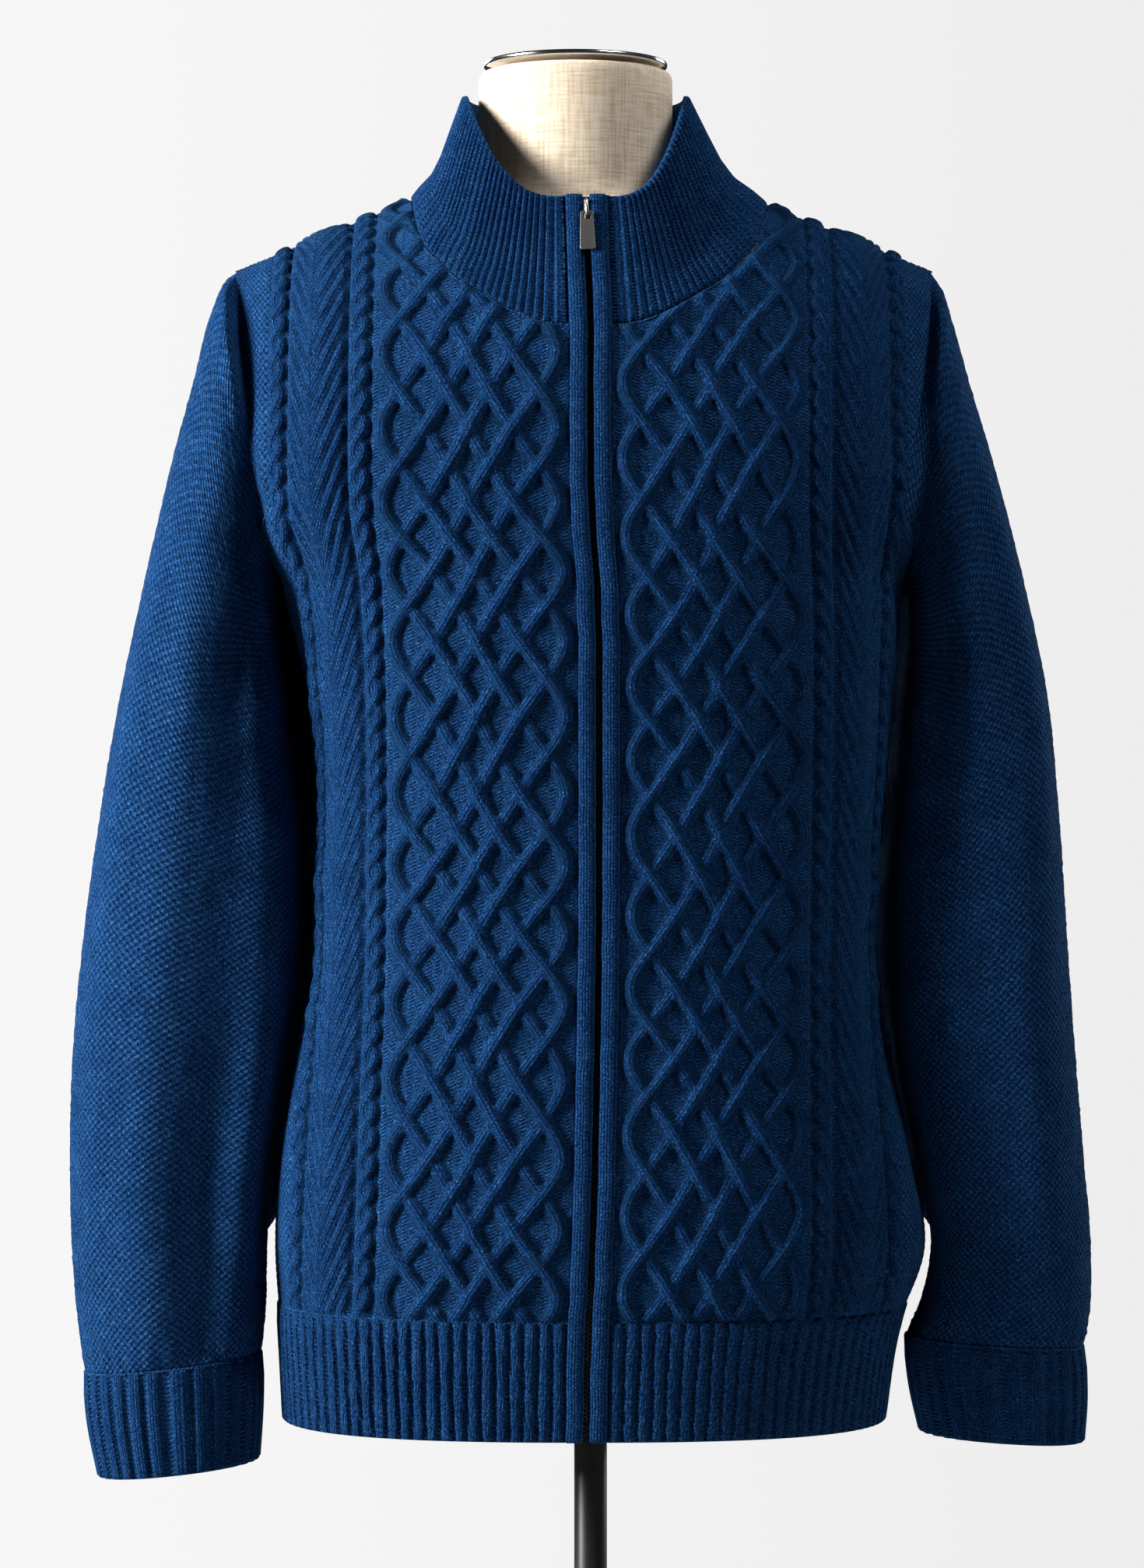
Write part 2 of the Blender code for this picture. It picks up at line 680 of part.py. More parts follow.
def cuff(name, side, rows):
    outer, inner = [], []
    for row in rows:
        ring = []
        for k in range(2 * CUFF_RIBS):
            turn = k / (2 * CUFF_RIBS)
            rise = CUFF_RISE * (k % 2) * (0.5 if row is rows[0] else 1.0)
            ring.append((turn, ring_point(row, side, turn * 2 * math.pi, rise)))
        outer.append(ring)
    for row in (rows[0], rows[-1]):
        ring = [k / CUFF_RIBS for k in range(CUFF_RIBS)]
        inner.append([(turn, ring_point(row, side, turn * 2 * math.pi, -WALL)) for turn in ring])
    return shell_between(name, outer, inner, True, NAVY)


# The collar's top edge, round from the middle front: share of the way round, half width, depth, height.
COLLAR_TOP_FRONT = (0.0, -0.088, 1.461)
COLLAR_TOP_SIDE = (0.066, -0.004, 1.531)
COLLAR_TOP_BACK = (0.0, 0.066, 1.534)
COLLAR_FLARE = ((0.0, 0.0), (0.13, 0.20), (0.25, 0.43), (0.42, 0.60), (0.62, 0.74), (1.0, 1.0))
COLLAR_ROWS = (1.0, 0.58, 0.25, 0.0)
COLLAR_FRONT_SHARE = 0.60
COLLAR_END = PANEL_EDGE + 0.0010
ZIP_TOP_X = 0.001


def collar_foot(turn):
    """The neckline round from the band at +X (turn 0) by the back to the other band (turn 1)."""
    side = 1 if turn < 0.5 else -1
    t = min(turn, 1 - turn) * 2
    x_zip = BODY["zip"][-1]
    if t < COLLAR_FRONT_SHARE:
        angle = t / COLLAR_FRONT_SHARE * math.pi / 2
        place = COLLAR_END + (NECK_POINT_X - COLLAR_END) * math.sin(angle) ** 0.85
        xs, zs = np.array(NECKLINE).T
        s = s_where_x(side * place + x_zip, YOKE_Z, 1)
        v = v_at_height(s, smooth_at(xs, zs, place))
        point = cloth_at(s, v)
    else:
        angle = (1 - t) / (1 - COLLAR_FRONT_SHARE) * math.pi / 2
        x = side * NECK_POINT_X * math.sin(angle)
        r = back_where_x(x + x_zip, YOKE_Z)
        v = behind_v(r, back_neck_z(x))
        point = behind_at(r, v)
    return point


def collar_point(turn, up, rise):
    """A point of the collar, up from the neckline (0) to its top edge (1)."""
    foot = collar_foot(turn)
    foot = foot + np.array([0.0, 0.0, 0.0006]) + inward_at(foot) * 0.0006
    side = 1 if turn < 0.5 else -1
    t = min(turn, 1 - turn) * 2
    front, flank, rear = (np.array(p) for p in (COLLAR_TOP_FRONT, COLLAR_TOP_SIDE, COLLAR_TOP_BACK))
    if t < COLLAR_FRONT_SHARE:
        angle = t / COLLAR_FRONT_SHARE * math.pi / 2
        top = np.array([
            COLLAR_END + (flank[0] - COLLAR_END) * math.sin(angle) ** 0.8,
            flank[1] + (front[1] - flank[1]) * math.cos(angle) ** 0.9,
            front[2] + (flank[2] - front[2]) * math.sin(angle) ** 2.2,
        ])
        flare = aside = math.sin(angle)
    else:
        angle = (1 - t) / (1 - COLLAR_FRONT_SHARE) * math.pi / 2
        top = np.array([
            flank[0] * math.sin(angle) ** 0.8,
            flank[1] + (rear[1] - flank[1]) * math.cos(angle) ** 0.9,
            rear[2] + (flank[2] - rear[2]) * math.sin(angle),
        ])
        flare, aside = max(math.sin(angle), 0.3), 1.0
    top[0] = side * top[0] + ZIP_TOP_X + (NECK_X - ZIP_TOP_X) * aside
    ups, shares = np.array(COLLAR_FLARE).T
    near = up + (float(np.interp(up, ups, shares)) - up) * flare
    point = foot + (top - foot) * np.array([near, near, up])
    return point - inward_at(point) * rise


def inward_at(point):
    """The level direction from a collar point to the neck's axis."""
    to_axis = np.array([NECK_X - point[0], -point[1] * 0.8, 0.0])
    return to_axis / np.linalg.norm(to_axis)


def collar():
    count = 2 * COLLAR_RIBS
    outer, inner = [], []
    for up in COLLAR_ROWS:
        row = []
        for k in range(count + 1):
            rise = COLLAR_RISE * (k % 2) * (0.0 if up == 0 else 1.0)
            row.append((k / count, collar_point(k / count, up, rise)))
        outer.append(row)
        if up != COLLAR_ROWS[1]:
            places = np.linspace(0, 1, 27)
            inner.append([(t, collar_point(t, up, -WALL)) for t in places])
    return shell_between("collar", outer, inner, False, NAVY)


def zip_line():
    """Places down the front where the bands lie: point, direction out of the cloth and up the zip."""
    v_neck = v_at_height(0.0, NECKLINE[0][1])
    line = [(cloth_at(0.0, v), outward_at(cloth_at, 0.0, v)) for v in spaced(HEM_Z, v_neck, 0.030)]
    foot = line[-1][0]
    top = np.array([ZIP_TOP_X, COLLAR_TOP_FRONT[1], COLLAR_TOP_FRONT[2] + 0.001])
    lean = (top - foot) / np.linalg.norm(top - foot)
    out = np.array([0.0, -lean[2], lean[1]])
    for share in (0.35, 0.68, 1.0):
        line.append((foot + (top - foot) * share, out))
    line[-4] = (foot, (line[-4][1] + out) / np.linalg.norm(line[-4][1] + out))
    return line


def along_zip(name, profile, line, material):
    """A strip down the zip line: its profile is across and out points, counter-clockwise from below."""
    points, faces, count = [], [], len(profile)
    for middle, out in line:
        points += [middle + np.array([1.0, 0.0, 0.0]) * across + out * rise for across, rise in profile]
    for n in range(len(line) - 1):
        for k in range(count):
            a, b = n * count + k, n * count + (k + 1) % count
            faces += [(a, b, b + count), (a, b + count, a + count)]
    last = (len(line) - 1) * count
    faces += [tuple(range(count))[::-1], tuple(range(last, last + count))]
    made = object_from(name, points, faces, material)
    face_out(made)
    return made


BAND_RISE = 0.0032


def band_profile(side):
    middle, half = (BAND_NEAR + BAND_FAR) / 2, (BAND_FAR - BAND_NEAR) / 2
    profile = [(side * (middle + half), -WALL + 0.0004), (side * (middle - half), -WALL + 0.0004)]
    for k in range(6):
        angle = k / 5 * math.pi
        profile.append((side * (middle - half * math.cos(angle)), BAND_RISE * math.sin(angle) ** 0.7))
    return profile


clear_scene()
PART = collection_named("zip_cardigan_on_dress_form")
NAVY = material_named("navy_wool", (0.010, 0.035, 0.095), 0.9)
BLACK_TAPE = material_named("zip_tape", (0.008, 0.009, 0.012), 0.7)
GUNMETAL = material_named("gunmetal", (0.16, 0.16, 0.17), 0.35, 1.0)
CHROME = material_named("chrome", (0.75, 0.75, 0.75), 0.12, 1.0)
LINEN = material_named("linen", (0.72, 0.62, 0.50), 0.95)
POLE_BLACK = material_named("black_paint", (0.02, 0.02, 0.02), 0.45)

front_panel(1)
front_panel(-1)
back_panel()
hem_band("hem_rib_left", cloth_at, lambda z: PANEL_EDGE, lambda z: side_at(z, 1) - CUT_BACK)
hem_band("hem_rib_right", cloth_at, lambda z: -side_at(z, -1) + CUT_BACK, lambda z: -PANEL_EDGE)
hem_band("hem_rib_back", behind_at, lambda z: -back_side(z, -1) + CUT_BACK, lambda z: back_side(z, 1) - CUT_BACK)
sleeve("sleeve_right", -1, SLEEVE_RIGHT)
sleeve("sleeve_left", 1, SLEEVE_LEFT)
cuff("cuff_right", -1, CUFF_RIGHT)
cuff("cuff_left", 1, CUFF_LEFT)
collar()
ZIP_LINE = zip_line()
along_zip("edge_band_left", band_profile(1), ZIP_LINE, NAVY)
along_zip("edge_band_right", band_profile(-1), ZIP_LINE, NAVY)
TAPE = ((-0.006, -0.0046), (0.006, -0.0046), (0.006, -0.0034), (-0.006, -0.0034))
along_zip("zip_chain", TAPE, ZIP_LINE, BLACK_TAPE)


def form_width_depth(x, z):
    """How deep the form is, front and back, over a place x at a height z above the yoke."""
    rise = ridge_z(x) - YOKE_Z - WALL - FORM_SHOULDER_GAP
    share = (z - YOKE_Z) / rise if rise > 0 else 1.0
    if share >= 1 or abs(x) >= FORM_SHOULDER:
        return 0.0, 0.0
    round_off = math.sqrt(1 - (abs(x) / FORM_SHOULDER) ** 6) * math.sqrt(1 - share**2)
    round_off *= 1 - FORM_RIDGE_SLIM * share**4
    _, y_front = round_at(s_where_x(x, YOKE_Z, 1), YOKE_Z)
    _, y_back = round_at(section(YOKE_Z)[0][0] + back_where_x(x, YOKE_Z), YOKE_Z)
    return max(-y_front - FORM_GAP - WALL, 0.0) * round_off, max(y_back - FORM_GAP - WALL, 0.0) * round_off


FORM_GAP = 0.0040
FORM_SHOULDER_GAP = 0.0012
FORM_RIDGE_SLIM = 0.22
FORM_EASE = ((0.80, 0.014), (1.0, 0.014), (1.20, 0.014), (1.245, 0.018), (1.30, 0.034))
FORM_LEVELS = (
    0.80, 0.806, 0.86, 0.93, 1.00, 1.08, 1.17, 1.24, 1.30, 1.35, 1.39, 1.415,
    1.435, 1.450, 1.461, 1.470, 1.479, 1.541, NECK_TOP_Z,
)
FORM_SIDES = 22


def in_form(x, y, z):
    if z > YOKE_Z:
        front, back = form_width_depth(x, z)
        return -front < y < back
    size = {name: smooth_at(BODY_Z, BODY[name], z) for name in BODY_COLUMNS[1:]}
    levels, eases = np.array(FORM_EASE).T
    ease = float(np.interp(z, levels, eases))
    if z == FORM_BOTTOM_Z:
        ease += 0.006
    half = (size["right_side"] + size["left_side"]) / 2 - WALL - ease
    middle = (size["left_side"] - size["right_side"]) / 2
    depth = (size["front"] if y < 0 else size["back"]) - WALL - FORM_GAP
    return (abs(x - middle) / half) ** 2.4 + (abs(y) / depth) ** 2.4 < 1


def form_ring(z):
    """The form's outline at a height, found outwards along level lines from its axis."""
    ring = []
    neck = NECK_RADIUS - (0.004 if z == NECK_TOP_Z else 0.0)
    for k in range(FORM_SIDES):
        turn = k / FORM_SIDES * 2 * math.pi
        across, forward = math.cos(turn), math.sin(turn)
        near, far = 0.0, 0.30
        for _ in range(24):
            middle = (near + far) / 2
            if in_form(middle * across, middle * forward, z):
                near = middle
            else:
                far = middle
        if near < neck * 1.02:
            ring.append((NECK_X + neck * across, neck * forward, z))
        else:
            ring.append((near * across, near * forward, z))
    return ring


def form_torso():
    points, faces = [], []
    for z in FORM_LEVELS:
        points += form_ring(z)
    for n in range(len(FORM_LEVELS) - 1):
        for k in range(FORM_SIDES):
            a, b = n * FORM_SIDES + k, n * FORM_SIDES + (k + 1) % FORM_SIDES
            faces.append((a, b, b + FORM_SIDES, a + FORM_SIDES))
    last = (len(FORM_LEVELS) - 1) * FORM_SIDES
    faces += [tuple(range(FORM_SIDES))[::-1], tuple(range(last, last + FORM_SIDES))]
    made = object_from("form_torso", points, faces, LINEN)
    face_out(made)


def turned(name, profile, place, material, steps=30):
    """A turned piece about a vertical axis from (radius, height) pairs, top to bottom."""
    mesh = bpy.data.meshes.new(name)
    points = [(radius, 0.0, height) for radius, height in profile]
    mesh.from_pydata(points, [(k, k + 1) for k in range(len(points) - 1)], [])
    mesh.materials.append(material)
    made = bpy.data.objects.new(name, mesh)
    PART.objects.link(made)
    made.location = place
    turn = made.modifiers.new("turn", "SCREW")
    turn.steps = turn.render_steps = steps
    turn.use_merge_vertices = True
    turn.merge_threshold = 0.00005
    return made


def box(name, size, material):
    mesh = bpy.data.meshes.new(name)
    shape = bmesh.new()
    bmesh.ops.create_cube(shape, size=1.0)
    bmesh.ops.scale(shape, vec=size, verts=shape.verts)
    shape.to_mesh(mesh)
    shape.free()
    mesh.materials.append(material)
    made = bpy.data.objects.new(name, mesh)
    PART.objects.link(made)
    return made


def zip_frame():
    """A frame at the pull tab's axis: its X across, its Y into the cloth, its Z up the zip."""
    (foot, _), (top, out) = ZIP_LINE[-2], ZIP_LINE[-1]
    up = Vector(top - foot).normalized()
    into = -Vector(out)
    axis = Vector(top) - up * TAB_AXIS_DROP - into * TAB_OUT
    across = into.cross(up).normalized()
    turn = Matrix((across, up.cross(across), up)).transposed()
    return Matrix.Translation(axis) @ turn.to_4x4()


TAB_AXIS_DROP = 0.0130


def slider(frame):
    """The slider's block between the bands, with its bail joined on."""
    across, deep, long = SLIDER_SIZE
    block = box("zip_slider", SLIDER_SIZE, GUNMETAL)
    block.data.transform(Matrix.Translation((0, TAB_OUT - SLIDER_FACE + deep / 2, BAIL_SPAN / 2 - 0.0022)))
    block.matrix_world = frame
    curve = bpy.data.curves.new("bail", "CURVE")
    curve.dimensions = "3D"
    curve.bevel_depth = BAIL_WIRE
    curve.bevel_resolution = 1
    curve.use_fill_caps = True
    low, high = -0.0020, -0.0020 + BAIL_SPAN
    face = TAB_OUT - SLIDER_FACE + 0.0008
    crown = TAB_OUT - BAIL_TOP
    corner = 0.0009
    path = (
        (face, low), (crown + corner, low), (crown + corner * 0.3, low + corner * 0.3), (crown, low + corner),
        (crown, high - corner), (crown + corner * 0.3, high - corner * 0.3), (crown + corner, high), (face, high),
    )
    spline = curve.splines.new("POLY")
    spline.points.add(len(path) - 1)
    for point, (into, up) in zip(spline.points, path):
        point.co = (0.0, into, up, 1.0)
    bail = bpy.data.objects.new("bail", curve)
    PART.objects.link(bail)
    mesh = bpy.data.meshes.new_from_object(bail.evaluated_get(bpy.context.evaluated_depsgraph_get()))
    shape = bmesh.new()
    shape.from_mesh(mesh)
    bmesh.ops.remove_doubles(shape, verts=shape.verts, dist=0.000001)
    bmesh.ops.recalc_face_normals(shape, faces=shape.faces)
    shape.to_mesh(mesh)
    shape.free()
    bpy.data.objects.remove(bail)
    wire = bpy.data.objects.new("bail_wire", mesh)
    CUTTERS.objects.link(wire)
    wire.matrix_world = frame
    wire.hide_render = True
    wire.display_type = "WIRE"
    join = block.modifiers.new("bail", "BOOLEAN")
    join.operation = "UNION"
    join.object = wire


def pull_tab(frame):
    """A flat tapered tab with a slot at its top; its origin is on the joint's axis, in its top bar."""
    curve = bpy.data.curves.new("pull_tab", "CURVE")
    curve.dimensions = "2D"
    curve.fill_mode = "BOTH"
    curve.extrude = TAB_THICK / 2
    top, foot = SLOT_BAR / 2, SLOT_BAR / 2 - TAB_LENGTH
    wide, slim, nick = TAB_FOOT_WIDTH / 2, TAB_TOP_WIDTH / 2, 0.0010
    outline = (
        (slim - nick, top), (-slim + nick, top), (-slim, top - nick), (-wide, foot + nick),
        (-wide + nick, foot), (wide - nick, foot), (wide, foot + nick), (slim, top - nick),
    )
    half, start, end = SLOT_WIDTH / 2, -SLOT_BAR / 2, -SLOT_BAR / 2 - SLOT_LENGTH
    slot = ((half, start), (half, end), (-half, end), (-half, start))
    for loop in (outline, slot):
        spline = curve.splines.new("POLY")
        spline.points.add(len(loop) - 1)
        spline.use_cyclic_u = True
        for point, (across, up) in zip(spline.points, loop):
            point.co = (across, up, 0.0, 1.0)
    curve.materials.append(GUNMETAL)
    made = bpy.data.objects.new("pull_tab", curve)
    PART.objects.link(made)
    made.matrix_world = frame @ Matrix.Rotation(math.pi / 2, 4, "X")


CUTTERS = collection_named("cutters")
slider(zip_frame())
pull_tab(zip_frame())
form_torso()
turned(
    "neck_cap",
    (
        (0.0, NECK_TOP_Z + 0.0066), (CAP_RADIUS - 0.001, NECK_TOP_Z + 0.0066),
        (CAP_RADIUS, NECK_TOP_Z + 0.0056), (CAP_RADIUS, NECK_TOP_Z + 0.0066 - CAP_THICK),
        (0.014, NECK_TOP_Z + 0.0066 - CAP_THICK), (0.014, NECK_TOP_Z + SEAM), (0.0, NECK_TOP_Z + SEAM),
    ),
    (NECK_X, 0.0, 0.0),
    CHROME,
)
turned(
    "stand_pole",
    (
        (0.0, FORM_BOTTOM_Z - SEAM), (POLE_RADIUS, FORM_BOTTOM_Z - SEAM),
        (POLE_RADIUS, BASE_THICK + 0.026), (0.0, BASE_THICK + 0.026),
    ),
    (POLE_X, 0.0, 0.0),
    POLE_BLACK,
    24,
)
turned(
    "stand_base",
    (
        (0.0, BASE_THICK + 0.026 - SEAM), (0.018, BASE_THICK + 0.026 - SEAM), (0.020, BASE_THICK + 0.023),
        (0.022, BASE_THICK + 0.002), (BASE_RADIUS - 0.006, BASE_THICK), (BASE_RADIUS, BASE_THICK - 0.005),
        (BASE_RADIUS, 0.0), (0.0, 0.0),
    ),
    (POLE_X, 0.0, 0.0),
    POLE_BLACK,
)
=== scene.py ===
"""A zip cardigan in cable knit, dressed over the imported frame.

Here is every knitted piece of the garment, its zip, and the linen form and the stand under it.
"""

import math

import bmesh
import bpy
import numpy as np
from mathutils import Matrix, Vector
from mathutils.geometry import delaunay_2d_cdt


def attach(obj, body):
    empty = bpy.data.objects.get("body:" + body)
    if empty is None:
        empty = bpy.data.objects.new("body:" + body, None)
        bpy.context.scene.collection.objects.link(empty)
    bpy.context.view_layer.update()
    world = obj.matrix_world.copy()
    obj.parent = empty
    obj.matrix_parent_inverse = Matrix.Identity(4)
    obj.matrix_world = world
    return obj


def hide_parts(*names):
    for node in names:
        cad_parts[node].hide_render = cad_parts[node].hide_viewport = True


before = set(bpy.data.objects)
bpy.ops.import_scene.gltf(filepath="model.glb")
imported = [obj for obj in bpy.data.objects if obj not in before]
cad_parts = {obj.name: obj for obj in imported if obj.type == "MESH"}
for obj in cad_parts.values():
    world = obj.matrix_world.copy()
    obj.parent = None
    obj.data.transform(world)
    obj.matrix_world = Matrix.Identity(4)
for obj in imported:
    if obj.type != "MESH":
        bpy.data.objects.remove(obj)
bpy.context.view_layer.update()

# ---------------------------------------------------------------------------------------------------------
# What every section below uses: new objects, node trees, and materials on Object coordinates.


def in_scene(name, data):
    """A new object of the scene that holds the given data."""
    made = bpy.data.objects.new(name, data)
    bpy.context.scene.collection.objects.link(made)
    return made


def wire(tree, value, socket):
    """Links a socket to another node's output, or sets it to a number."""
    if isinstance(value, bpy.types.NodeSocket):
        tree.links.new(value, socket)
    else:
        socket.default_value = value


def node_in(tree, kind, inputs=None, **settings):
    """A new node with its settings, and a link or a number for each of its inputs that is given."""
    made = tree.nodes.new(kind)
    for name, value in settings.items():
        setattr(made, name, value)
    for socket, value in (inputs or {}).items():
        wire(tree, value, made.inputs[socket])
    return made


class Value:
    """A value in a material's nodes. Python's signs on it make Math nodes."""

    def __init__(self, tree, socket):
        self.tree, self.socket = tree, socket

    def by(self, operation, *others):
        inputs = [getattr(value, "socket", value) for value in (self, *others)]
        made = node_in(self.tree, "ShaderNodeMath", dict(enumerate(inputs)), operation=operation)
        return Value(self.tree, made.outputs[0])

    def __add__(self, other):
        return self.by("ADD", other)

    def __sub__(self, other):
        return self.by("SUBTRACT", other)

    def __mul__(self, other):
        return self.by("MULTIPLY", other)


def new_material(name, colour, roughness, metallic=0.0, specular=0.5):
    """A material with its own shader values set on the sockets."""
    made = bpy.data.materials.new(name)
    made.use_nodes = True
    shader = made.node_tree.nodes["Principled BSDF"]
    shader.inputs["Base Color"].default_value = (*colour, 1)
    shader.inputs["Roughness"].default_value = roughness
    shader.inputs["Metallic"].default_value = metallic
    shader.inputs["Specular IOR Level"].default_value = specular
    return made, made.node_tree, shader


def object_place(tree):
    """Where a point of the piece is: a value for each of the Object coordinates."""
    place = node_in(tree, "ShaderNodeTexCoord")
    parts = node_in(tree, "ShaderNodeSeparateXYZ", {"Vector": place.outputs["Object"]})
    return [Value(tree, parts.outputs[axis]) for axis in "XYZ"]


def noise_on(tree, scale, detail=2.0, rough=0.5, squeeze=(1.0, 1.0, 1.0)):
    """Noise on Object coordinates, squeezed along the axes."""
    place = node_in(tree, "ShaderNodeTexCoord")
    squeezed = node_in(tree, "ShaderNodeMapping", {"Vector": place.outputs["Object"], "Scale": squeeze})
    values = {"Vector": squeezed.outputs["Vector"], "Scale": scale, "Detail": detail, "Roughness": rough}
    return Value(tree, node_in(tree, "ShaderNodeTexNoise", values).outputs["Fac"])


def wave_of(value, per_unit, wobble=None, wobble_by=0.0):
    """A sine wave on a value, put a little out of step by a wobble."""
    turn = value * per_unit
    return (turn if wobble is None else wobble * wobble_by + turn).by("SINE")


def mixed(factor, low, high):
    """From one value to another by a third."""
    made = node_in(factor.tree, "ShaderNodeMix", data_type="FLOAT")
    for name, value in (("Factor", factor), ("A", low), ("B", high)):
        wire(factor.tree, value.socket, next(s for s in made.inputs if s.name == name and s.type == "VALUE"))
    return Value(factor.tree, next(s for s in made.outputs if s.type == "VALUE"))


def ramp_to(value, socket, stops):
    """A colour ramp from a value to a shader's socket: (place, colour or grey) stops."""
    ramp = node_in(value.tree, "ShaderNodeValToRGB", {"Fac": value.socket})
    while len(ramp.color_ramp.elements) < len(stops):
        ramp.color_ramp.elements.new(0.5)
    for element, (place, colour) in zip(ramp.color_ramp.elements, stops):
        element.position = place
        element.color = (*(colour if isinstance(colour, tuple) else (colour,) * 3), 1)
    wire(value.tree, ramp.outputs["Color"], socket)


def bumped(shader, height, strength, distance):
    """Small relief in a shader's normal: its height, how strong it is and how deep in metres."""
    values = {"Height": height.socket, "Strength": strength, "Distance": distance}
    wire(height.tree, node_in(height.tree, "ShaderNodeBump", values).outputs["Normal"], shader.inputs["Normal"])


# ---------------------------------------------------------------------------------------------------------
# The camera stands straight in front, a little below the middle of the garment, on a long lens.
# It frames the garment from the cap of the neck down to the middle of the pole.
CAMERA_PLACE = (-0.0071, -2.722, 1.1205)
VIEW_UP_DEGREES = 19.56

eye = bpy.data.cameras.new("front_camera")
eye.sensor_fit = "VERTICAL"
eye.angle_y = math.radians(VIEW_UP_DEGREES)
eye_object = in_scene("front_camera", eye)
eye_object.location = CAMERA_PLACE
eye_object.rotation_euler = (math.radians(90), 0, 0)
bpy.context.scene.camera = eye_object

# ---------------------------------------------------------------------------------------------------------
# The studio: a pale paper floor, a big soft window of light on the left, hardly any fill from the right,
# and two soft lamps behind for the sides and the back. The air around it shows pale, as a paper wall would.
PAPER_WHITE, PAPER_GLOW = (0.86, 0.87, 0.88), 0.95
FLOOR_RADIUS, FLOOR_Z, FLOOR_SIDES, FLOOR_EVENED = 3.4, -0.0006, 64, 0.82
AIR_COLOUR, AIR_LIGHT, AIR_SHOWN = (0.95, 0.97, 1.0), 0.024, 1.0
AIR_FROM_X, AIR_TO_X, AIR_LEFT, AIR_RIGHT = -0.10, 0.13, 0.925, 0.845
LIGHTS = (
    # name, place, aim, width, height, spread in degrees, watts
    ("window_left", (-2.66, -0.80, 1.95), (0.0, 0.0, 1.12), 1.0, 1.4, 80, 55.0),
    ("fill_right", (2.6, -2.4, 1.4), (0.0, 0.0, 1.10), 2.2, 2.2, 90, 0.10),
    ("top_right", (1.15, -0.75, 3.0), (0.03, 0.0, 1.45), 0.7, 0.7, 60, 3.2),
    ("back_right", (2.4, 2.3, 1.9), (0.0, 0.05, 1.1), 1.3, 1.6, 80, 9.0),
    ("back_left", (-1.7, 2.9, 2.1), (0.0, 0.05, 1.1), 1.3, 1.6, 80, 14.0),
)


def shown_instead(tree, plain, shown, share=1.0):
    """What lights the object, mixed by a share with what is shown past it, as the studio's last shader."""
    first_look = Value(tree, node_in(tree, "ShaderNodeLightPath").outputs["Is Camera Ray"]) * share
    return node_in(tree, "ShaderNodeMixShader", {"Fac": first_look.socket, 1: plain, 2: shown}).outputs["Shader"]


floor_turns = [2 * math.pi * k / FLOOR_SIDES for k in range(FLOOR_SIDES)]
floor_mesh = bpy.data.meshes.new("paper_floor")
floor_points = [(FLOOR_RADIUS * math.cos(turn), FLOOR_RADIUS * math.sin(turn), FLOOR_Z) for turn in floor_turns]
floor_mesh.from_pydata(floor_points, [], [tuple(range(FLOOR_SIDES))])
paper, tree, shader = new_material("pale_paper", PAPER_WHITE, 0.95, 0.0, 0.1)
glow = node_in(tree, "ShaderNodeEmission", {"Color": (*PAPER_WHITE, 1), "Strength": PAPER_GLOW})
evened = shown_instead(tree, shader.outputs["BSDF"], glow.outputs["Emission"], FLOOR_EVENED)
wire(tree, evened, tree.nodes["Material Output"].inputs["Surface"])
floor_mesh.materials.append(paper)
paper_floor = in_scene("paper_floor", floor_mesh)

for name, place, aim, wide, high, spread, watts in LIGHTS:
    lamp = bpy.data.lights.new(name, "AREA")
    lamp.shape = "RECTANGLE"
    lamp.size, lamp.size_y, lamp.energy, lamp.spread = wide, high, watts, math.radians(spread)
    lamp_object = in_scene(name, lamp)
    lamp_object.location = place
    lamp_object.rotation_euler = (Vector(aim) - Vector(place)).to_track_quat("-Z", "Y").to_euler()

# the air gives a little light of its own, and what is seen past the object is paper, paler to the left
sky = bpy.data.worlds.new("studio_air")
sky.use_nodes = True
air = sky.node_tree
dim = air.nodes["Background"]
dim.inputs["Color"].default_value = (*AIR_COLOUR, 1)
dim.inputs["Strength"].default_value = AIR_LIGHT
facing = node_in(air, "ShaderNodeTexCoord")
apart = node_in(air, "ShaderNodeSeparateXYZ", {"Vector": facing.outputs["Generated"]})
shade = node_in(air, "ShaderNodeMapRange", {
    "Value": apart.outputs["X"], "From Min": AIR_FROM_X, "From Max": AIR_TO_X, "To Min": AIR_LEFT, "To Max": AIR_RIGHT,
})
pale = node_in(air, "ShaderNodeBackground", {"Color": shade.outputs["Result"], "Strength": AIR_SHOWN})
seen_air = shown_instead(air, dim.outputs["Background"], pale.outputs["Background"])
wire(air, seen_air, air.nodes["World Output"].inputs["Surface"])
bpy.context.scene.world = sky
bpy.context.scene.view_settings.view_transform = "Standard"

# ---------------------------------------------------------------------------------------------------------
# The stand: a round weighted foot with a collar, and the pole that carries the form.
# Both are turned steel under satin black paint; the pole drops into the collar.
POLE_X, POLE_RADIUS, POLE_FOOT_Z, POLE_TOP_Z, POLE_EASE = 0.004, 0.0098, 0.0406, 0.7997, 0.001
POLE_JOINTS_Z = (0.50, 0.20)
FOOT_RADIUS, FOOT_THICK = 0.165, 0.014
FOOT_COLLAR = (
    # radius and height of the collar round the pole, from its top down to the plate
    (0.0, 0.0397), (0.0170, 0.0397), (0.0182, 0.0393), (0.0195, 0.0380), (0.0202, 0.0350), (0.0212, 0.0200),
    (0.0222, 0.0165), (0.0260, 0.0150), (0.0320, 0.0146), (0.080, 0.0143),
)
FOOT_RIM = (
    # how far in from the plate's radius and down from its top its rim turns over
    (0.010, 0.0), (0.004, 0.001), (0.001, 0.0035), (0.0, 0.006), (0.0, FOOT_THICK - 0.0012), (0.001, FOOT_THICK),
)


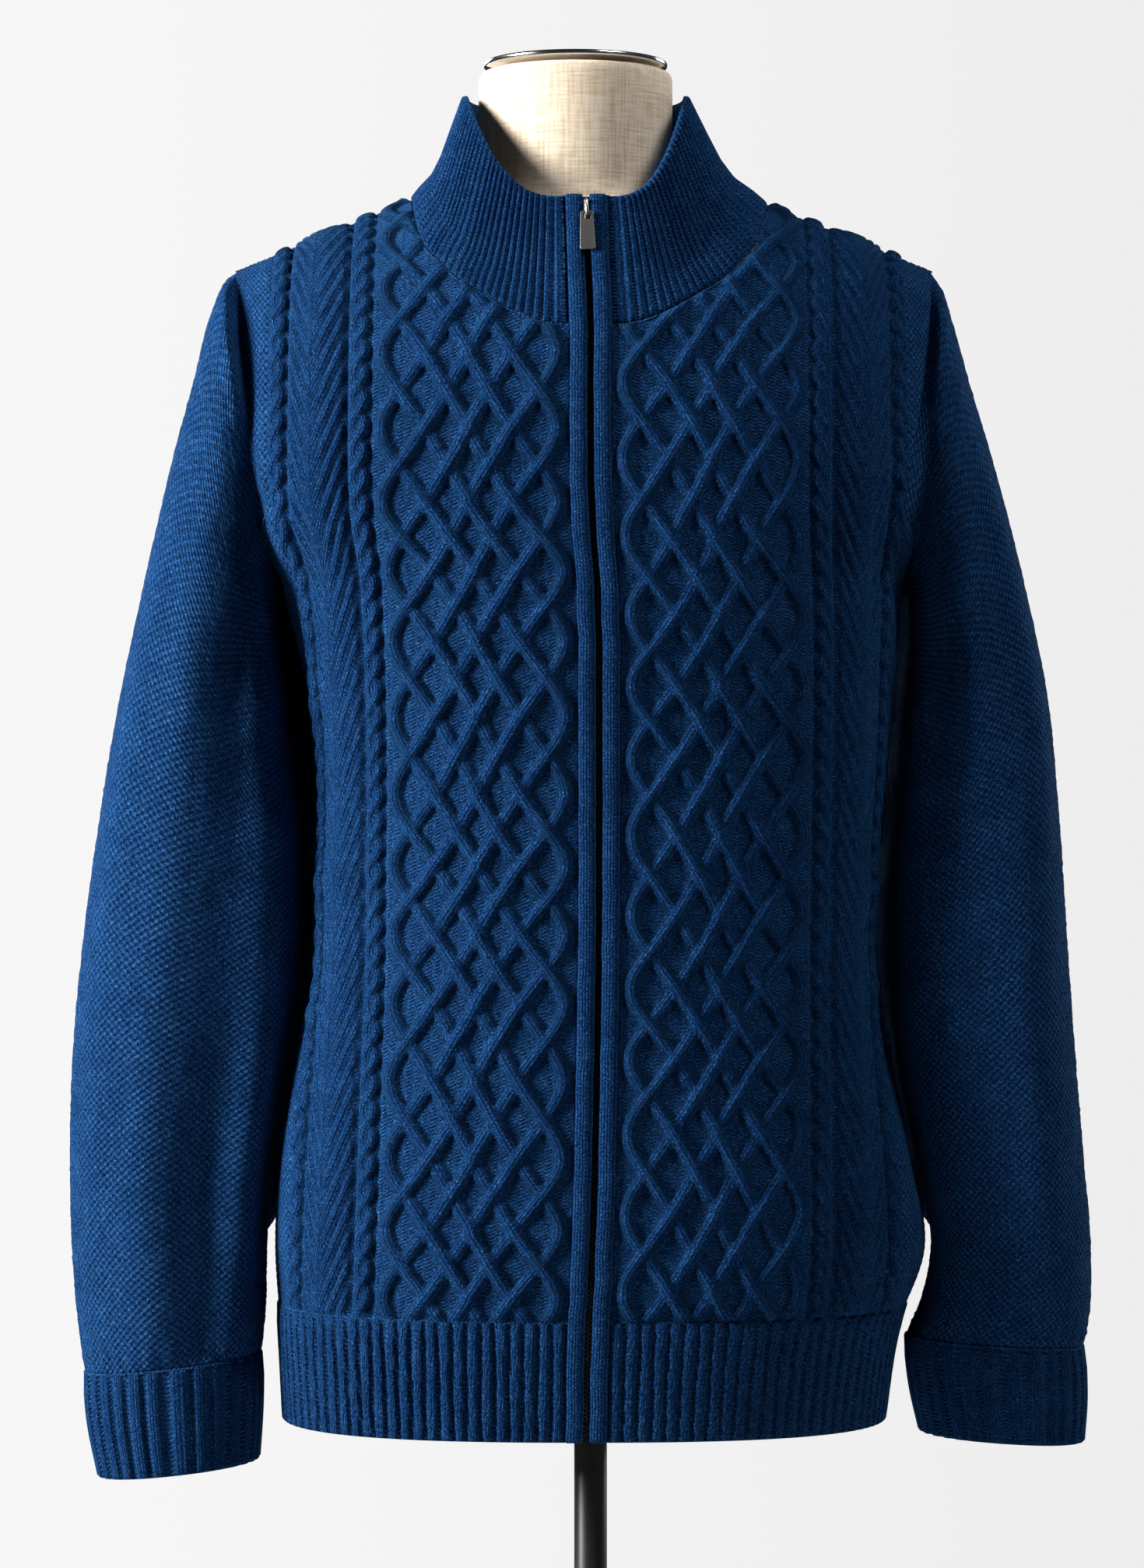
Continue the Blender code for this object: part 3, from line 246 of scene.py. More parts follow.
def turned(name, profile, x, material, steps=112):
    """A turned piece about an upright axis, from (radius, height) pairs given from the top down."""
    rings = [[] for _ in profile]
    points, faces = [], []
    for n, (radius, height) in enumerate(profile):
        count = 1 if radius == 0 else steps
        for k in range(count):
            angle = 2 * math.pi * k / steps
            rings[n].append(len(points))
            points.append((x + radius * math.cos(angle), radius * math.sin(angle), height))
    for up, down in zip(rings[:-1], rings[1:]):
        for k in range(steps):
            a, b = up[k % len(up)], up[(k + 1) % len(up)]
            c, d = down[k % len(down)], down[(k + 1) % len(down)]
            faces.append(tuple(dict.fromkeys((a, c, d, b))))
    mesh = bpy.data.meshes.new(name)
    mesh.from_pydata(points, [], faces)
    mesh.materials.append(material)
    mesh.shade_smooth()
    mesh.update()
    return in_scene(name, mesh)


black_paint, tree, shader = new_material("satin_black_paint", (0.014, 0.014, 0.015), 0.42)
bumped(shader, noise_on(tree, 700.0, 3.0), 0.25, 0.0002)
ramp_to(noise_on(tree, 30.0, 4.0), shader.inputs["Base Color"], ((0.3, (0.011, 0.011, 0.012)), (0.7, (0.020, 0.020, 0.021))))

pole_profile = [(0.0, POLE_TOP_Z), (POLE_RADIUS - POLE_EASE, POLE_TOP_Z), (POLE_RADIUS, POLE_TOP_Z - POLE_EASE)]
pole_profile += [(POLE_RADIUS, z) for z in (*POLE_JOINTS_Z, POLE_FOOT_Z)] + [(0.0, POLE_FOOT_Z)]
pole = turned("black_pole", pole_profile, POLE_X, black_paint, 64)
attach(pole, "cardigan_on_form")
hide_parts("stand_pole")
foot_rim = [(FOOT_RADIUS - inward, FOOT_THICK - down) for inward, down in FOOT_RIM]
foot = turned("round_foot", [*FOOT_COLLAR, *foot_rim, (0.0, 0.0)], POLE_X, black_paint, 160)
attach(foot, "cardigan_on_form")
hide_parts("stand_base")

# ---------------------------------------------------------------------------------------------------------
# The body's cloth follows one set of sections, and the form under it lies a few millimetres inside them.
# Each section is a height, half widths to the two sides, where the zip runs, and the depths front and back.
HEM_Z, RIB_TOP_Z, YOKE_Z, UNDERARM_Z = 0.743, 0.812, 1.30, 1.245
SEAM, CUT_BACK, WALL = 0.0003, 0.00025, 0.003
BODY_ROUNDNESS = 0.8
BODY_SECTIONS = np.array((
    (0.743, 0.178, 0.178, 0.001, 0.117, 0.113),
    (0.798, 0.181, 0.187, 0.002, 0.121, 0.118),
    (0.844, 0.184, 0.203, 0.004, 0.124, 0.122),
    (0.900, 0.181, 0.194, 0.006, 0.122, 0.120),
    (0.951, 0.173, 0.182, 0.007, 0.118, 0.114),
    (1.000, 0.164, 0.174, 0.008, 0.115, 0.108),
    (1.070, 0.160, 0.175, 0.0085, 0.113, 0.105),
    (1.130, 0.160, 0.181, 0.0085, 0.115, 0.110),
    (1.217, 0.174, 0.188, 0.008, 0.122, 0.120),
    (1.245, 0.182, 0.190, 0.007, 0.123, 0.121),
    (1.270, 0.200, 0.203, 0.0045, 0.123, 0.121),
    (1.300, 0.213, 0.214, 0.0035, 0.122, 0.120),
))
NECK_POINT_X, NECK_POINT_Z, SHOULDER_SLOPE = 0.107, 1.468, 0.405
ZIP_X_AT_YOKE = 0.0035
# a section is worked out at this many steps round, from the middle of the back by the -X side and the front
SECTION_STEPS = 1440
QUARTER = SECTION_STEPS // 4
FRONT_HALF, BACK_LEFT, BACK_RIGHT = slice(QUARTER, 3 * QUARTER + 1), slice(3 * QUARTER + 1, None), slice(1, QUARTER)
SECTIONS_FOUND = {}


def eased(t, step, start, stop, slope_start, slope_stop):
    """A cubic piece from one value to the next, with a slope at each, where t runs from 0 to 1."""
    return (
        (2 * t**3 - 3 * t**2 + 1) * start
        + (t**3 - 2 * t**2 + t) * step * slope_start
        + (3 * t**2 - 2 * t**3) * stop
        + (t**3 - t**2) * step * slope_stop
    )


def smooth_at(places, values, at):
    """A smooth curve through a short table, by cubic pieces with the slopes of their neighbours."""
    slopes = np.gradient(values, places, axis=0)
    k = int(np.clip(np.searchsorted(places, at) - 1, 0, len(places) - 2))
    step = places[k + 1] - places[k]
    t = min(max((at - places[k]) / step, 0.0), 1.0)
    return eased(t, step, values[k], values[k + 1], slopes[k], slopes[k + 1])


def signed_power(value, power):
    return np.sign(value) * np.abs(value) ** power


def run_of(steps):
    """The lengths reached along a line by its steps, from 0."""
    return np.concatenate([[0.0], np.cumsum(steps)])


def section(z):
    """The body's outline at a height: lengths round it from the zip, positive to +X, with x and y there."""
    key = round(z, 6)
    if key not in SECTIONS_FOUND:
        right, left, zip_x, front, back = smooth_at(BODY_SECTIONS[:, 0], BODY_SECTIONS[:, 1:], z)
        half, middle = (right + left) / 2, (left - right) / 2
        turn = np.linspace(-math.pi, math.pi, SECTION_STEPS + 1)
        x = middle + half * signed_power(np.sin(turn), BODY_ROUNDNESS)
        depth = np.where(np.abs(turn) <= math.pi / 2, front, back)
        y = -depth * signed_power(np.cos(turn), BODY_ROUNDNESS)
        length = run_of(np.hypot(np.diff(x), np.diff(y)))
        length -= np.interp(zip_x, x[FRONT_HALF], length[FRONT_HALF])
        SECTIONS_FOUND[key] = (length, x, y, length[QUARTER], length[3 * QUARTER])
    return SECTIONS_FOUND[key]


def side_at(z, side):
    """The flat distance from the zip to a side seam."""
    found = section(min(z, YOKE_Z))
    return abs(found[4] if side > 0 else found[3])


def round_at(s, z):
    """The place on a section s round from the zip."""
    length, x, y, _, _ = section(z)
    whole = length[-1] - length[0]
    s = (np.asarray(s) - length[0]) % whole + length[0]
    return np.interp(s, length, x), np.interp(s, length, y)


def ridge_z(x):
    """The height of the shoulder seam over a place x."""
    return NECK_POINT_Z - SHOULDER_SLOPE * (np.hypot(x, 0.02) - NECK_POINT_X)


def yoke_at(s):
    """Over the shoulder the cloth follows a quarter of an ellipse: its foot, its height and its length."""
    x, y = (float(v) for v in round_at(s, YOKE_Z))
    rise = ridge_z(x) - YOKE_Z
    turn = np.linspace(0, math.pi / 2, 49)
    run = np.hypot(np.diff(abs(y) * np.cos(turn)), np.diff(rise * np.sin(turn)))
    return x, y, rise, turn, run_of(run)


def cloth_at(s, v):
    """The cloth's surface s round from the zip line and v up it, where v is the height up to the yoke."""
    if v <= YOKE_Z:
        x, y = round_at(s, v)
        return np.array([float(x), float(y), v])
    x, y, rise, turn, run = yoke_at(s)
    angle = float(np.interp(v - YOKE_Z, run, turn))
    return np.array([x, y * math.cos(angle), YOKE_Z + rise * math.sin(angle)])


def behind_at(r, v):
    """The same cloth with r measured round from the middle of the back, positive to -X."""
    return cloth_at(section(min(v, YOKE_Z))[0][0] + r, v)


def back_where_x(x, z):
    """The flat distance from the middle of the back where a section reaches x."""
    length, xs, _, _, _ = section(z)
    near = np.concatenate([xs[BACK_LEFT], xs[BACK_RIGHT]])
    far = np.concatenate([length[BACK_LEFT] - length[-1], length[BACK_RIGHT] - length[0]])
    return float(np.interp(-x, -near, far))


def s_where_x(x, z):
    """The flat distance from the zip where the front of a section reaches x."""
    length, xs, _, _, _ = section(min(z, YOKE_Z))
    return float(np.interp(x, xs[FRONT_HALF], length[FRONT_HALF]))


# ---------------------------------------------------------------------------------------------------------
# The dress form: a padded torso of stuffed linen, cut off at the arms and at the hips, with a straight neck.
# Its cover is a plain weave of thick and thin yarns, sewn close over the padding.
FORM_NECK_X, FORM_NECK_RADIUS, FORM_NECK_TOP_Z, FORM_BOTTOM_Z = -0.005, 0.058, 1.5455, 0.80
FORM_GAP, FORM_SHOULDER_GAP, FORM_RIDGE_SLIM, FORM_SHOULDER, FORM_SQUARE = 0.0040, 0.0012, 0.22, 0.180, 2.4
FORM_EASE = ((0.80, 0.014), (1.0, 0.014), (1.20, 0.014), (1.245, 0.018), (1.30, 0.034))
FORM_FOOT_ROUND = ((0.8005, 0.006), (0.805, 0.002), (9.0, 0.0))  # up to which height, how far its edge turns in
FORM_LEVELS = (
    0.80, 0.8008, 0.803, 0.806, 0.83, 0.86, 0.93, 1.00, 1.08, 1.17, 1.24, 1.27, 1.30, 1.32, 1.35, 1.37, 1.39,
    1.415, 1.435, 1.450, 1.461, 1.470, 1.479, 1.50, 1.52, 1.536, 1.5405, 1.5430, 1.5446, 1.5454, 1.5455,
)
FORM_NECK_FROM_Z, FORM_NECK_ROUND = 1.482, (
    (1.5405, 0.0), (1.5430, 0.0006), (1.5446, 0.0018), (1.5454, 0.0035), (1.5455, 0.0060),
)
FORM_SIDES, FORM_REACH = 128, 0.30
WEFT_PITCH, WARP_PER_TURN, SLUB_WOBBLE = 0.00085, 420.0, 5.0
LINEN_STOPS = ((0.33, (0.60, 0.45, 0.30)), (0.48, (0.78, 0.63, 0.46)), (0.62, (0.88, 0.77, 0.62)))


def form_reach(turn, z):
    """How far the form reaches from its axis at a height, in one direction."""
    across, forward = math.cos(turn), math.sin(turn)
    low_z = min(z, YOKE_Z)
    right, left, _, front, back = smooth_at(BODY_SECTIONS[:, 0], BODY_SECTIONS[:, 1:], low_z)
    ease = float(np.interp(low_z, *np.array(FORM_EASE).T))
    ease += next(inward for below_z, inward in FORM_FOOT_ROUND if z < below_z)
    out = np.linspace(0.0, FORM_REACH, 601)
    x, y = out * across, out * forward
    if z <= YOKE_Z:
        half, middle = (right + left) / 2 - WALL - ease, (left - right) / 2
        depth = (front if forward < 0 else back) - WALL - FORM_GAP
        full = (np.abs(x - middle) / half) ** FORM_SQUARE + (np.abs(y) / depth) ** FORM_SQUARE
    else:
        rise = ridge_z(x) - YOKE_Z - WALL - FORM_SHOULDER_GAP
        share = np.clip((z - YOKE_Z) / rise, 0.0, 1.0)
        round_off = np.sqrt(1 - np.clip(np.abs(x) / FORM_SHOULDER, 0, 1) ** 6) * np.sqrt(1 - share**2)
        round_off *= 1 - FORM_RIDGE_SLIM * share**4
        _, xs, ys, _, _ = section(YOKE_Z)
        if forward < 0:
            cloth_y = -np.interp(x, xs[FRONT_HALF], ys[FRONT_HALF])
        else:
            back_x, back_y = (np.concatenate([line[BACK_LEFT], line[BACK_RIGHT]]) for line in (xs, ys))
            cloth_y = np.interp(-x, -back_x, back_y)
        depth = np.maximum(cloth_y - FORM_GAP - WALL, 0.0) * round_off
        full = np.where(depth > 0, np.abs(y) / np.maximum(depth, 1e-6), 2.0)
    k = int(np.argmax(full >= 1))
    if k == 0:
        return 0.0
    return float(np.interp(1.0, [full[k - 1], full[k]], [out[k - 1], out[k]])) if full[k] > full[k - 1] else out[k]


form_points, form_faces = [(POLE_X, 0.0, FORM_BOTTOM_Z)], []
for z in FORM_LEVELS:
    neck = FORM_NECK_RADIUS - float(np.interp(z, *np.array(FORM_NECK_ROUND).T))
    for k in range(FORM_SIDES):
        turn = 2 * math.pi * k / FORM_SIDES
        reach = form_reach(turn, z)
        on_neck = z > FORM_NECK_FROM_Z or reach < neck * 1.02
        reach, axis_x = (neck, FORM_NECK_X) if on_neck else (reach, 0.0)
        form_points.append((axis_x + reach * math.cos(turn), reach * math.sin(turn), z))
form_points.append((FORM_NECK_X, 0.0, FORM_NECK_TOP_Z))
top = 1 + (len(FORM_LEVELS) - 1) * FORM_SIDES
for k in range(FORM_SIDES):
    beside = (k + 1) % FORM_SIDES
    form_faces.append((0, 1 + beside, 1 + k))
    for a in range(1, top, FORM_SIDES):
        form_faces.append((a + k, a + beside, a + beside + FORM_SIDES, a + k + FORM_SIDES))
    form_faces.append((top + k, top + beside, len(form_points) - 1))
form_mesh = bpy.data.meshes.new("linen_form")
form_mesh.from_pydata(form_points, [], form_faces)
form_mesh.shade_smooth()

linen, tree, shader = new_material("woven_linen", (0.80, 0.71, 0.59), 0.92, 0.0, 0.25)
shader.inputs["Sheen Weight"].default_value = 0.25
shader.inputs["Sheen Roughness"].default_value = 0.5
x, y, z = object_place(tree)
slub = noise_on(tree, 1.0, 2.0, 0.5, (60.0, 60.0, 900.0))
slub_up = noise_on(tree, 1.0, 2.0, 0.5, (700.0, 700.0, 40.0))
weft = wave_of(z, 2 * math.pi / WEFT_PITCH, slub, SLUB_WOBBLE)
warp = wave_of(y.by("ARCTAN2", x), WARP_PER_TURN, slub_up, SLUB_WOBBLE)
thick_thin = slub + slub_up
bumped(shader, weft * warp * 0.35 + thick_thin, 0.5, 0.0005)
ramp_to(thick_thin * 0.5, shader.inputs["Base Color"], LINEN_STOPS)
form_mesh.materials.append(linen)
form = in_scene("linen_form", form_mesh)
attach(form, "cardigan_on_form")
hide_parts("form_torso")

# ---------------------------------------------------------------------------------------------------------
# The cap on the form's neck: a thin turned disc of polished steel on a short stem, screwed into the neck.
CAP_RADIUS, CAP_TOP_Z, CAP_THICK, CAP_STEM = 0.055, 1.5521, 0.0034, 0.014
CAP_RIM = (
    # how far in from the cap's radius and down from its top its edge turns over
    (0.006, 0.0), (0.0012, 0.0003), (0.0003, 0.0008), (0.0, 0.0015), (0.0002, CAP_THICK - 0.0005), (0.0009, CAP_THICK),
)

chrome, tree, shader = new_material("polished_steel", (0.78, 0.77, 0.76), 0.10, 1.0)
ramp_to(noise_on(tree, 1.0, 3.0, 0.5, (40.0, 40.0, 900.0)), shader.inputs["Roughness"], ((0.3, 0.08), (0.8, 0.24)))
cap_foot_z, stem_foot_z = CAP_TOP_Z - CAP_THICK, FORM_NECK_TOP_Z + 0.0004
cap_profile = [(0.0, CAP_TOP_Z + 0.0001)] + [(CAP_RADIUS - inward, CAP_TOP_Z - down) for inward, down in CAP_RIM]
cap_profile += [(CAP_STEM + 0.002, cap_foot_z), (CAP_STEM, cap_foot_z - 0.0005), (CAP_STEM, stem_foot_z), (0.0, stem_foot_z)]
cap = turned("steel_neck_cap", cap_profile, FORM_NECK_X, chrome, 144)
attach(cap, "cardigan_on_form")
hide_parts("neck_cap")

# ---------------------------------------------------------------------------------------------------------
# The back: one piece of moss stitch from side seam to side seam, shaped at the armholes and the neck.
# It is knitted in the heathered navy lambswool of the whole garment; the yarn's nap softens each stitch.
MOSS = 0.0024  # one stitch of the moss, across and up
NECKLINE = np.array(((0.0, 1.384), (0.030, 1.387), (0.060, 1.402), (0.086, 1.422), (0.102, 1.447), (0.107, 1.468)))
ARMHOLE = np.array(((0.0, 0.181), (0.10, 0.1835), (0.25, 0.187), (0.45, 0.194), (0.70, 0.202), (1.0, 0.207)))
BACK_NECK_DROP, RELIEF_FADE = 0.016, 0.004
PANEL_EDGE = 0.0125  # where a front begins beside its zip band
WOOL_DARK, WOOL_MIDDLE, WOOL_LIGHT = (0.0012, 0.0095, 0.040), (0.0042, 0.0290, 0.100), (0.022, 0.088, 0.225)
WOOL_STOPS = ((0.36, WOOL_DARK), (0.50, WOOL_MIDDLE), (0.66, WOOL_LIGHT), (0.80, (0.080, 0.20, 0.38)))

wool, tree, shader = new_material("heathered_lambswool", WOOL_MIDDLE, 0.95, 0.0, 0.03)
shader.inputs["Sheen Weight"].default_value = 0.12
shader.inputs["Sheen Roughness"].default_value = 0.45
shader.inputs["Sheen Tint"].default_value = (0.10, 0.40, 0.85, 1)
stitch_place = node_in(tree, "ShaderNodeAttribute", attribute_name="stitch")
stitch = node_in(tree, "ShaderNodeSeparateXYZ", {"Vector": stitch_place.outputs["Vector"]})
across, along, kind = (Value(tree, stitch.outputs[axis]) for axis in "XYZ")
wander = noise_on(tree, 260.0, 2.0)
# moss: bumps by turns; purl: rows of waves; plain: two legs a stitch that lean together
moss = wave_of(across + 0.5, math.pi, wander, 1.6) * wave_of(along + 0.5, math.pi, wander, -1.6)
purl_row = wave_of(along, 2 * math.pi, wave_of(across, math.pi), 1.5)
purl = purl_row * (wave_of(across, math.pi, wander, 3.0) * 0.3 + 0.5)
column = (across.by("FRACT") - 0.5).by("ABSOLUTE")
leg = (column * 4.0 - 1.0).by("ABSOLUTE").by("POWER", 2.0) * -1.0 + 1.0
leg_swell = ((along + column * 1.7).by("FRACT") * math.pi).by("SINE")
plain = leg * (leg_swell * 0.65 + 0.35)
to_purl = (kind * 2.0).by("MINIMUM", 1.0)
to_plain = (kind * 2.0 - 1.0).by("MAXIMUM", 0.0)
knit = mixed(to_plain, mixed(to_purl, moss, purl), plain)
fibre, nap = noise_on(tree, 1500.0, 3.0, 0.65), noise_on(tree, 520.0, 3.0, 0.6)
bumped(shader, knit * 0.80 + (fibre * 0.60 + nap * 0.7), 0.85, 0.0009)
fleck, lot = noise_on(tree, 1050.0, 2.5, 0.6), noise_on(tree, 55.0, 3.0, 0.55)
# the colour: heathered flecks and dye lots, plus painted shade from the stitches' height, darker in their hollows and
# lighter on their tops
melange_and_stitch_shade = fleck * 0.87 + (lot * 0.13 + (knit - to_plain * 0.85) * 0.085)
ramp_to(melange_and_stitch_shade, shader.inputs["Base Color"], WOOL_STOPS)


def spaced(start, stop, step):
    return np.linspace(start, stop, max(2, round(abs(stop - start) / step) + 1))


def shoulder_v(s):
    return YOKE_Z + yoke_at(s)[4][-1]


def v_at_height(s, z):
    """How far up the cloth a height lies, over the yoke too."""
    if z <= YOKE_Z:
        return z
    _, _, rise, turn, run = yoke_at(s)
    return YOKE_Z + float(np.interp(math.asin(min(max((z - YOKE_Z) / rise, 0.0), 1.0)), turn, run))


def behind_shoulder_v(r):
    return shoulder_v(section(YOKE_Z)[0][0] + r)


def behind_v(r, z):
    return v_at_height(section(YOKE_Z)[0][0] + r, z)


def back_side(z, sign):
    """The flat distance from the middle of the back to a side seam."""
    length, _, _, right, left = section(z)
    return right - length[0] if sign > 0 else length[-1] - left


def front_armhole(side, count=32):
    """Flat points of a front's armhole from the shoulder seam down to the underarm."""
    line = []
    for t in np.linspace(1, 0, count):
        share = 0.5 - 0.5 * math.cos(t * math.pi)
        x = side * smooth_at(ARMHOLE[:, 0], ARMHOLE[:, 1], share)
        z_share = UNDERARM_Z + (ridge_z(x) - UNDERARM_Z) * share
        if z_share < YOKE_Z:
            low = side_at(z_share, side)
            s = min(abs(s_where_x(x, z_share)), low)
            s = low - (low - s) * min(1.0, 6.0 * share) - CUT_BACK
        else:
            s = abs(s_where_x(x, YOKE_Z))
        s *= side
        line.append((s, max(v_at_height(s, z_share) if t < 1 else shoulder_v(s) - CUT_BACK, UNDERARM_Z)))
    return line


def back_armhole(sign, count=32):
    """Flat points of a back armhole from the shoulder seam down; sign is 1 on the -X side."""
    line = []
    for n, (s, v) in enumerate(front_armhole(-sign, count)):
        x, _, z = cloth_at(s, v)
        r = back_where_x(x, min(z, YOKE_Z))
        line.append((r, behind_shoulder_v(r) - CUT_BACK if n == 0 else behind_v(r, z)))
    return line


def back_neck_z(x):
    return NECK_POINT_Z - BACK_NECK_DROP * max(math.cos(x / NECK_POINT_X * math.pi / 2), 0.0) ** 0.6


def flat_grid(places, heights, behind):
    """Points of the body's cloth over a flat grid of places round it and heights up it."""
    points = np.empty((len(heights), len(places), 3))
    shift = section(YOKE_Z)[0][0] if behind else 0.0
    for n, v in enumerate(heights):
        low = min(v, YOKE_Z)
        start = section(low)[0][0] if behind else 0.0
        points[n, :, 0], points[n, :, 1] = round_at(places + start, low)
        points[n, :, 2] = low
    above = heights > YOKE_Z
    for k, s in enumerate(places):
        x, y, rise, turn, run = yoke_at(s + shift)
        angle = np.interp(heights[above] - YOKE_Z, run, turn)
        points[above, k, 0] = x
        points[above, k, 1] = y * np.cos(angle)
        points[above, k, 2] = YOKE_Z + rise * np.sin(angle)
    return points


def outward_at(surface, s, v, reach=0.002):
    across = surface(s + reach, v) - surface(s - reach, v)
    up = surface(s, v + reach) - surface(s, v - reach)
    normal = np.cross(across, up)
    return normal / np.linalg.norm(normal)


def nearest_on(outline, flat):
    """The nearest places on an outline: the points, how far off, and how far round as a share."""
    near, best, share = np.zeros_like(flat), np.full(len(flat), 9.0), np.zeros(len(flat))
    sides = np.roll(outline, -1, axis=0) - outline
    lengths = np.linalg.norm(sides, axis=1)
    run = run_of(lengths)
    for start, side, length, before in zip(outline, sides, lengths, run):
        if length < 1e-9:
            continue
        t = np.clip((flat - start) @ side / length**2, 0, 1)
        spot = start + t[:, None] * side
        off = np.linalg.norm(flat - spot, axis=1)
        closer = off < best
        near[closer], best[closer], share[closer] = spot[closer], off[closer], (before + t[closer] * length) / run[-1]
    return near, best, share


def stitched(upper, lower, closed):
    """Triangles between two lines of points that run alongside each other, as (place, index) lists."""
    faces, a, b = [], 0, 0
    if closed:
        upper = upper + [(upper[0][0] + 1.0, upper[0][1])]
        lower = lower + [(lower[0][0] + 1.0, lower[0][1])]
    while a < len(upper) - 1 or b < len(lower) - 1:
        if b == len(lower) - 1 or (a < len(upper) - 1 and upper[a + 1][0] <= lower[b + 1][0]):
            faces.append((upper[a][1], lower[b][1], upper[a + 1][1]))
            a += 1
        else:
            faces.append((upper[a][1], lower[b][1], lower[b + 1][1]))
            b += 1
    return faces


def cloth_object(name, points, faces, stitches):
    """A knitted piece as a smooth mesh in the wool, with where each point lies in the stitches."""
    mesh = bpy.data.meshes.new(name)
    mesh.from_pydata([tuple(p) for p in points], [], [tuple(int(k) for k in f) for f in faces])
    mesh.shade_smooth()
    place = mesh.attributes.new("stitch", "FLOAT_VECTOR", "POINT")
    place.data.foreach_set("vector", np.asarray(stitches, np.float32).ravel())
    mesh.materials.append(wool)
    return in_scene(name, mesh)


def beside_line(x, y, run_x, run_y, fade):
    """How far places lie from a line that starts at 0, 0, and how much it fades towards its ends."""
    t = (x * run_x + y * run_y) / (run_x**2 + run_y**2)
    off = np.hypot(x - t * run_x, y - t * run_y)
    return off, np.where((t > 0) & (t < 1), np.sin(np.clip(t, 0, 1) * math.pi) ** fade, 0.0)


def soft_folds(s, v, folds):
    """The height of soft creases drawn on the flat: each runs from one flat place to another, so wide, so high."""
    rise = np.zeros(np.shape(s))
    for s0, v0, s1, v1, wide, high in folds:
        off, ends = beside_line(s - s0, v - v0, s1 - s0, v1 - v0, 0.7)
        rise += high * np.exp(-((off / wide) ** 2)) * ends
    return rise


def inside_of(outline, s, v):
    """Which flat places lie inside a closed outline."""
    inside = np.zeros(np.shape(s), bool)
    for (s0, v0), (s1, v1) in zip(outline, np.roll(outline, -1, axis=0)):
        if v0 != v1:
            inside ^= ((v0 > v) != (v1 > v)) & (s < s0 + (v - v0) * (s1 - s0) / (v1 - v0))
    return inside


def round_run(outline):
    """How far round a closed outline each of its points is, and its whole length last."""
    return np.concatenate([[0.0], np.cumsum(np.linalg.norm(np.roll(outline, -1, axis=0) - outline, axis=1))])


def rim_loop(quads, share):
    """The points round the edge of a patch of quads, from the one that lies first on the outline."""
    sides = {(a, b) for quad in quads.tolist() for a, b in zip(quad, quad[1:] + quad[:1])}
    after = {a: b for a, b in sides if (b, a) not in sides}
    loop = [min(after, key=lambda k: share[k])]
    while after[loop[-1]] != loop[0] and len(loop) <= len(after):
        loop.append(after[loop[-1]])
    return loop


def plain_inside(outline, surface, step):
    """The smooth inside of a panel, in a coarse net: its points, its faces and its flat places."""
    low_s, low_v = outline.min(axis=0)
    high_s, high_v = outline.max(axis=0)
    ups = list(spaced(low_v, YOKE_Z, step)) + list(spaced(YOKE_Z, high_v, step / 2)[1:])
    coarse = np.array([(a, b) for a in spaced(low_s, high_s, step) for b in ups])
    clear = inside_of(outline, coarse[:, 0], coarse[:, 1]) & (nearest_on(outline, coarse)[1] > step * 0.2)
    places = [Vector(p) for p in outline] + [Vector(p) for p in coarse[clear]]
    flat, _, faces, origins, _, _ = delaunay_2d_cdt(places, [], [list(range(len(outline)))], 1, 1e-7)
    points = np.array([surface(a, b) - outward_at(surface, a, b) * (WALL - 0.0002) for a, b in flat])
    now_at = {old: new for new, olds in enumerate(origins) for old in olds}
    return points, faces, flat, [now_at[k] for k in range(len(outline))]


def knitted_panel(name, outline, surface, behind, places, heights, relief_of, plain_step=0.03):
    """A flat-cut panel laid on the body: the raised face with its stitches, a plain inside and a rim."""
    outline = np.array(outline)
    beside = np.roll(outline, -1, axis=0)
    if np.sum(outline[:, 0] * beside[:, 1] - beside[:, 0] * outline[:, 1]) < 0:
        outline = outline[::-1]
    s, v = np.meshgrid(places, heights)
    inside = inside_of(outline, s, v)
    kept = inside[:-1, :-1] | inside[1:, :-1] | inside[:-1, 1:] | inside[1:, 1:]
    used = np.zeros(s.shape, bool)
    for up, over in ((0, 0), (0, 1), (1, 0), (1, 1)):
        used[up : up + kept.shape[0], over : over + kept.shape[1]] |= kept
    index = np.full(s.shape, -1)
    index[used] = np.arange(used.sum())
    grid = flat_grid(places, heights, behind)
    normals = np.cross(np.gradient(grid, axis=1), np.gradient(grid, axis=0))
    normals /= np.maximum(np.linalg.norm(normals, axis=2, keepdims=True), 1e-12)
    flat, points, outs = np.stack([s[used], v[used]], axis=1), grid[used], normals[used]
    near, off, share = nearest_on(outline, flat)
    # points past the outline come back onto it, and there the relief fades out
    for k in np.nonzero(~inside[used])[0]:
        flat[k], points[k], outs[k], off[k] = near[k], surface(*near[k]), outward_at(surface, *near[k]), 0.0
    rise, stitches = relief_of(flat[:, 0], flat[:, 1])
    points = points + outs * (rise * np.clip(off / RELIEF_FADE, 0.0, 1.0) ** 0.6)[:, None]
    row, column = np.nonzero(kept)
    corners = ((row, column), (row, column + 1), (row + 1, column + 1), (row + 1, column))
    quads = np.stack([index[corner] for corner in corners], axis=1)
    loop = rim_loop(quads, share)
    shares_round = np.maximum.accumulate(np.maximum(share[loop], share[loop[0]]))
    lining, inner_faces, inner_flat, rim_places = plain_inside(outline, surface, plain_step)
    base, run = len(points), round_run(outline)
    rim = [(float(run[k] / run[-1]), base + place) for k, place in enumerate(rim_places)]
    edge = [(float(p), int(k)) for p, k in zip(shares_round, loop)]
    faces = quads.tolist() + [tuple(base + k for k in reversed(f)) for f in inner_faces]
    faces += stitched(edge, rim, True)
    inner_stitches = np.array([(a / MOSS, b / MOSS, 0.5) for a, b in inner_flat])
    return cloth_object(name, np.concatenate([points, lining]), faces, np.concatenate([stitches, inner_stitches]))


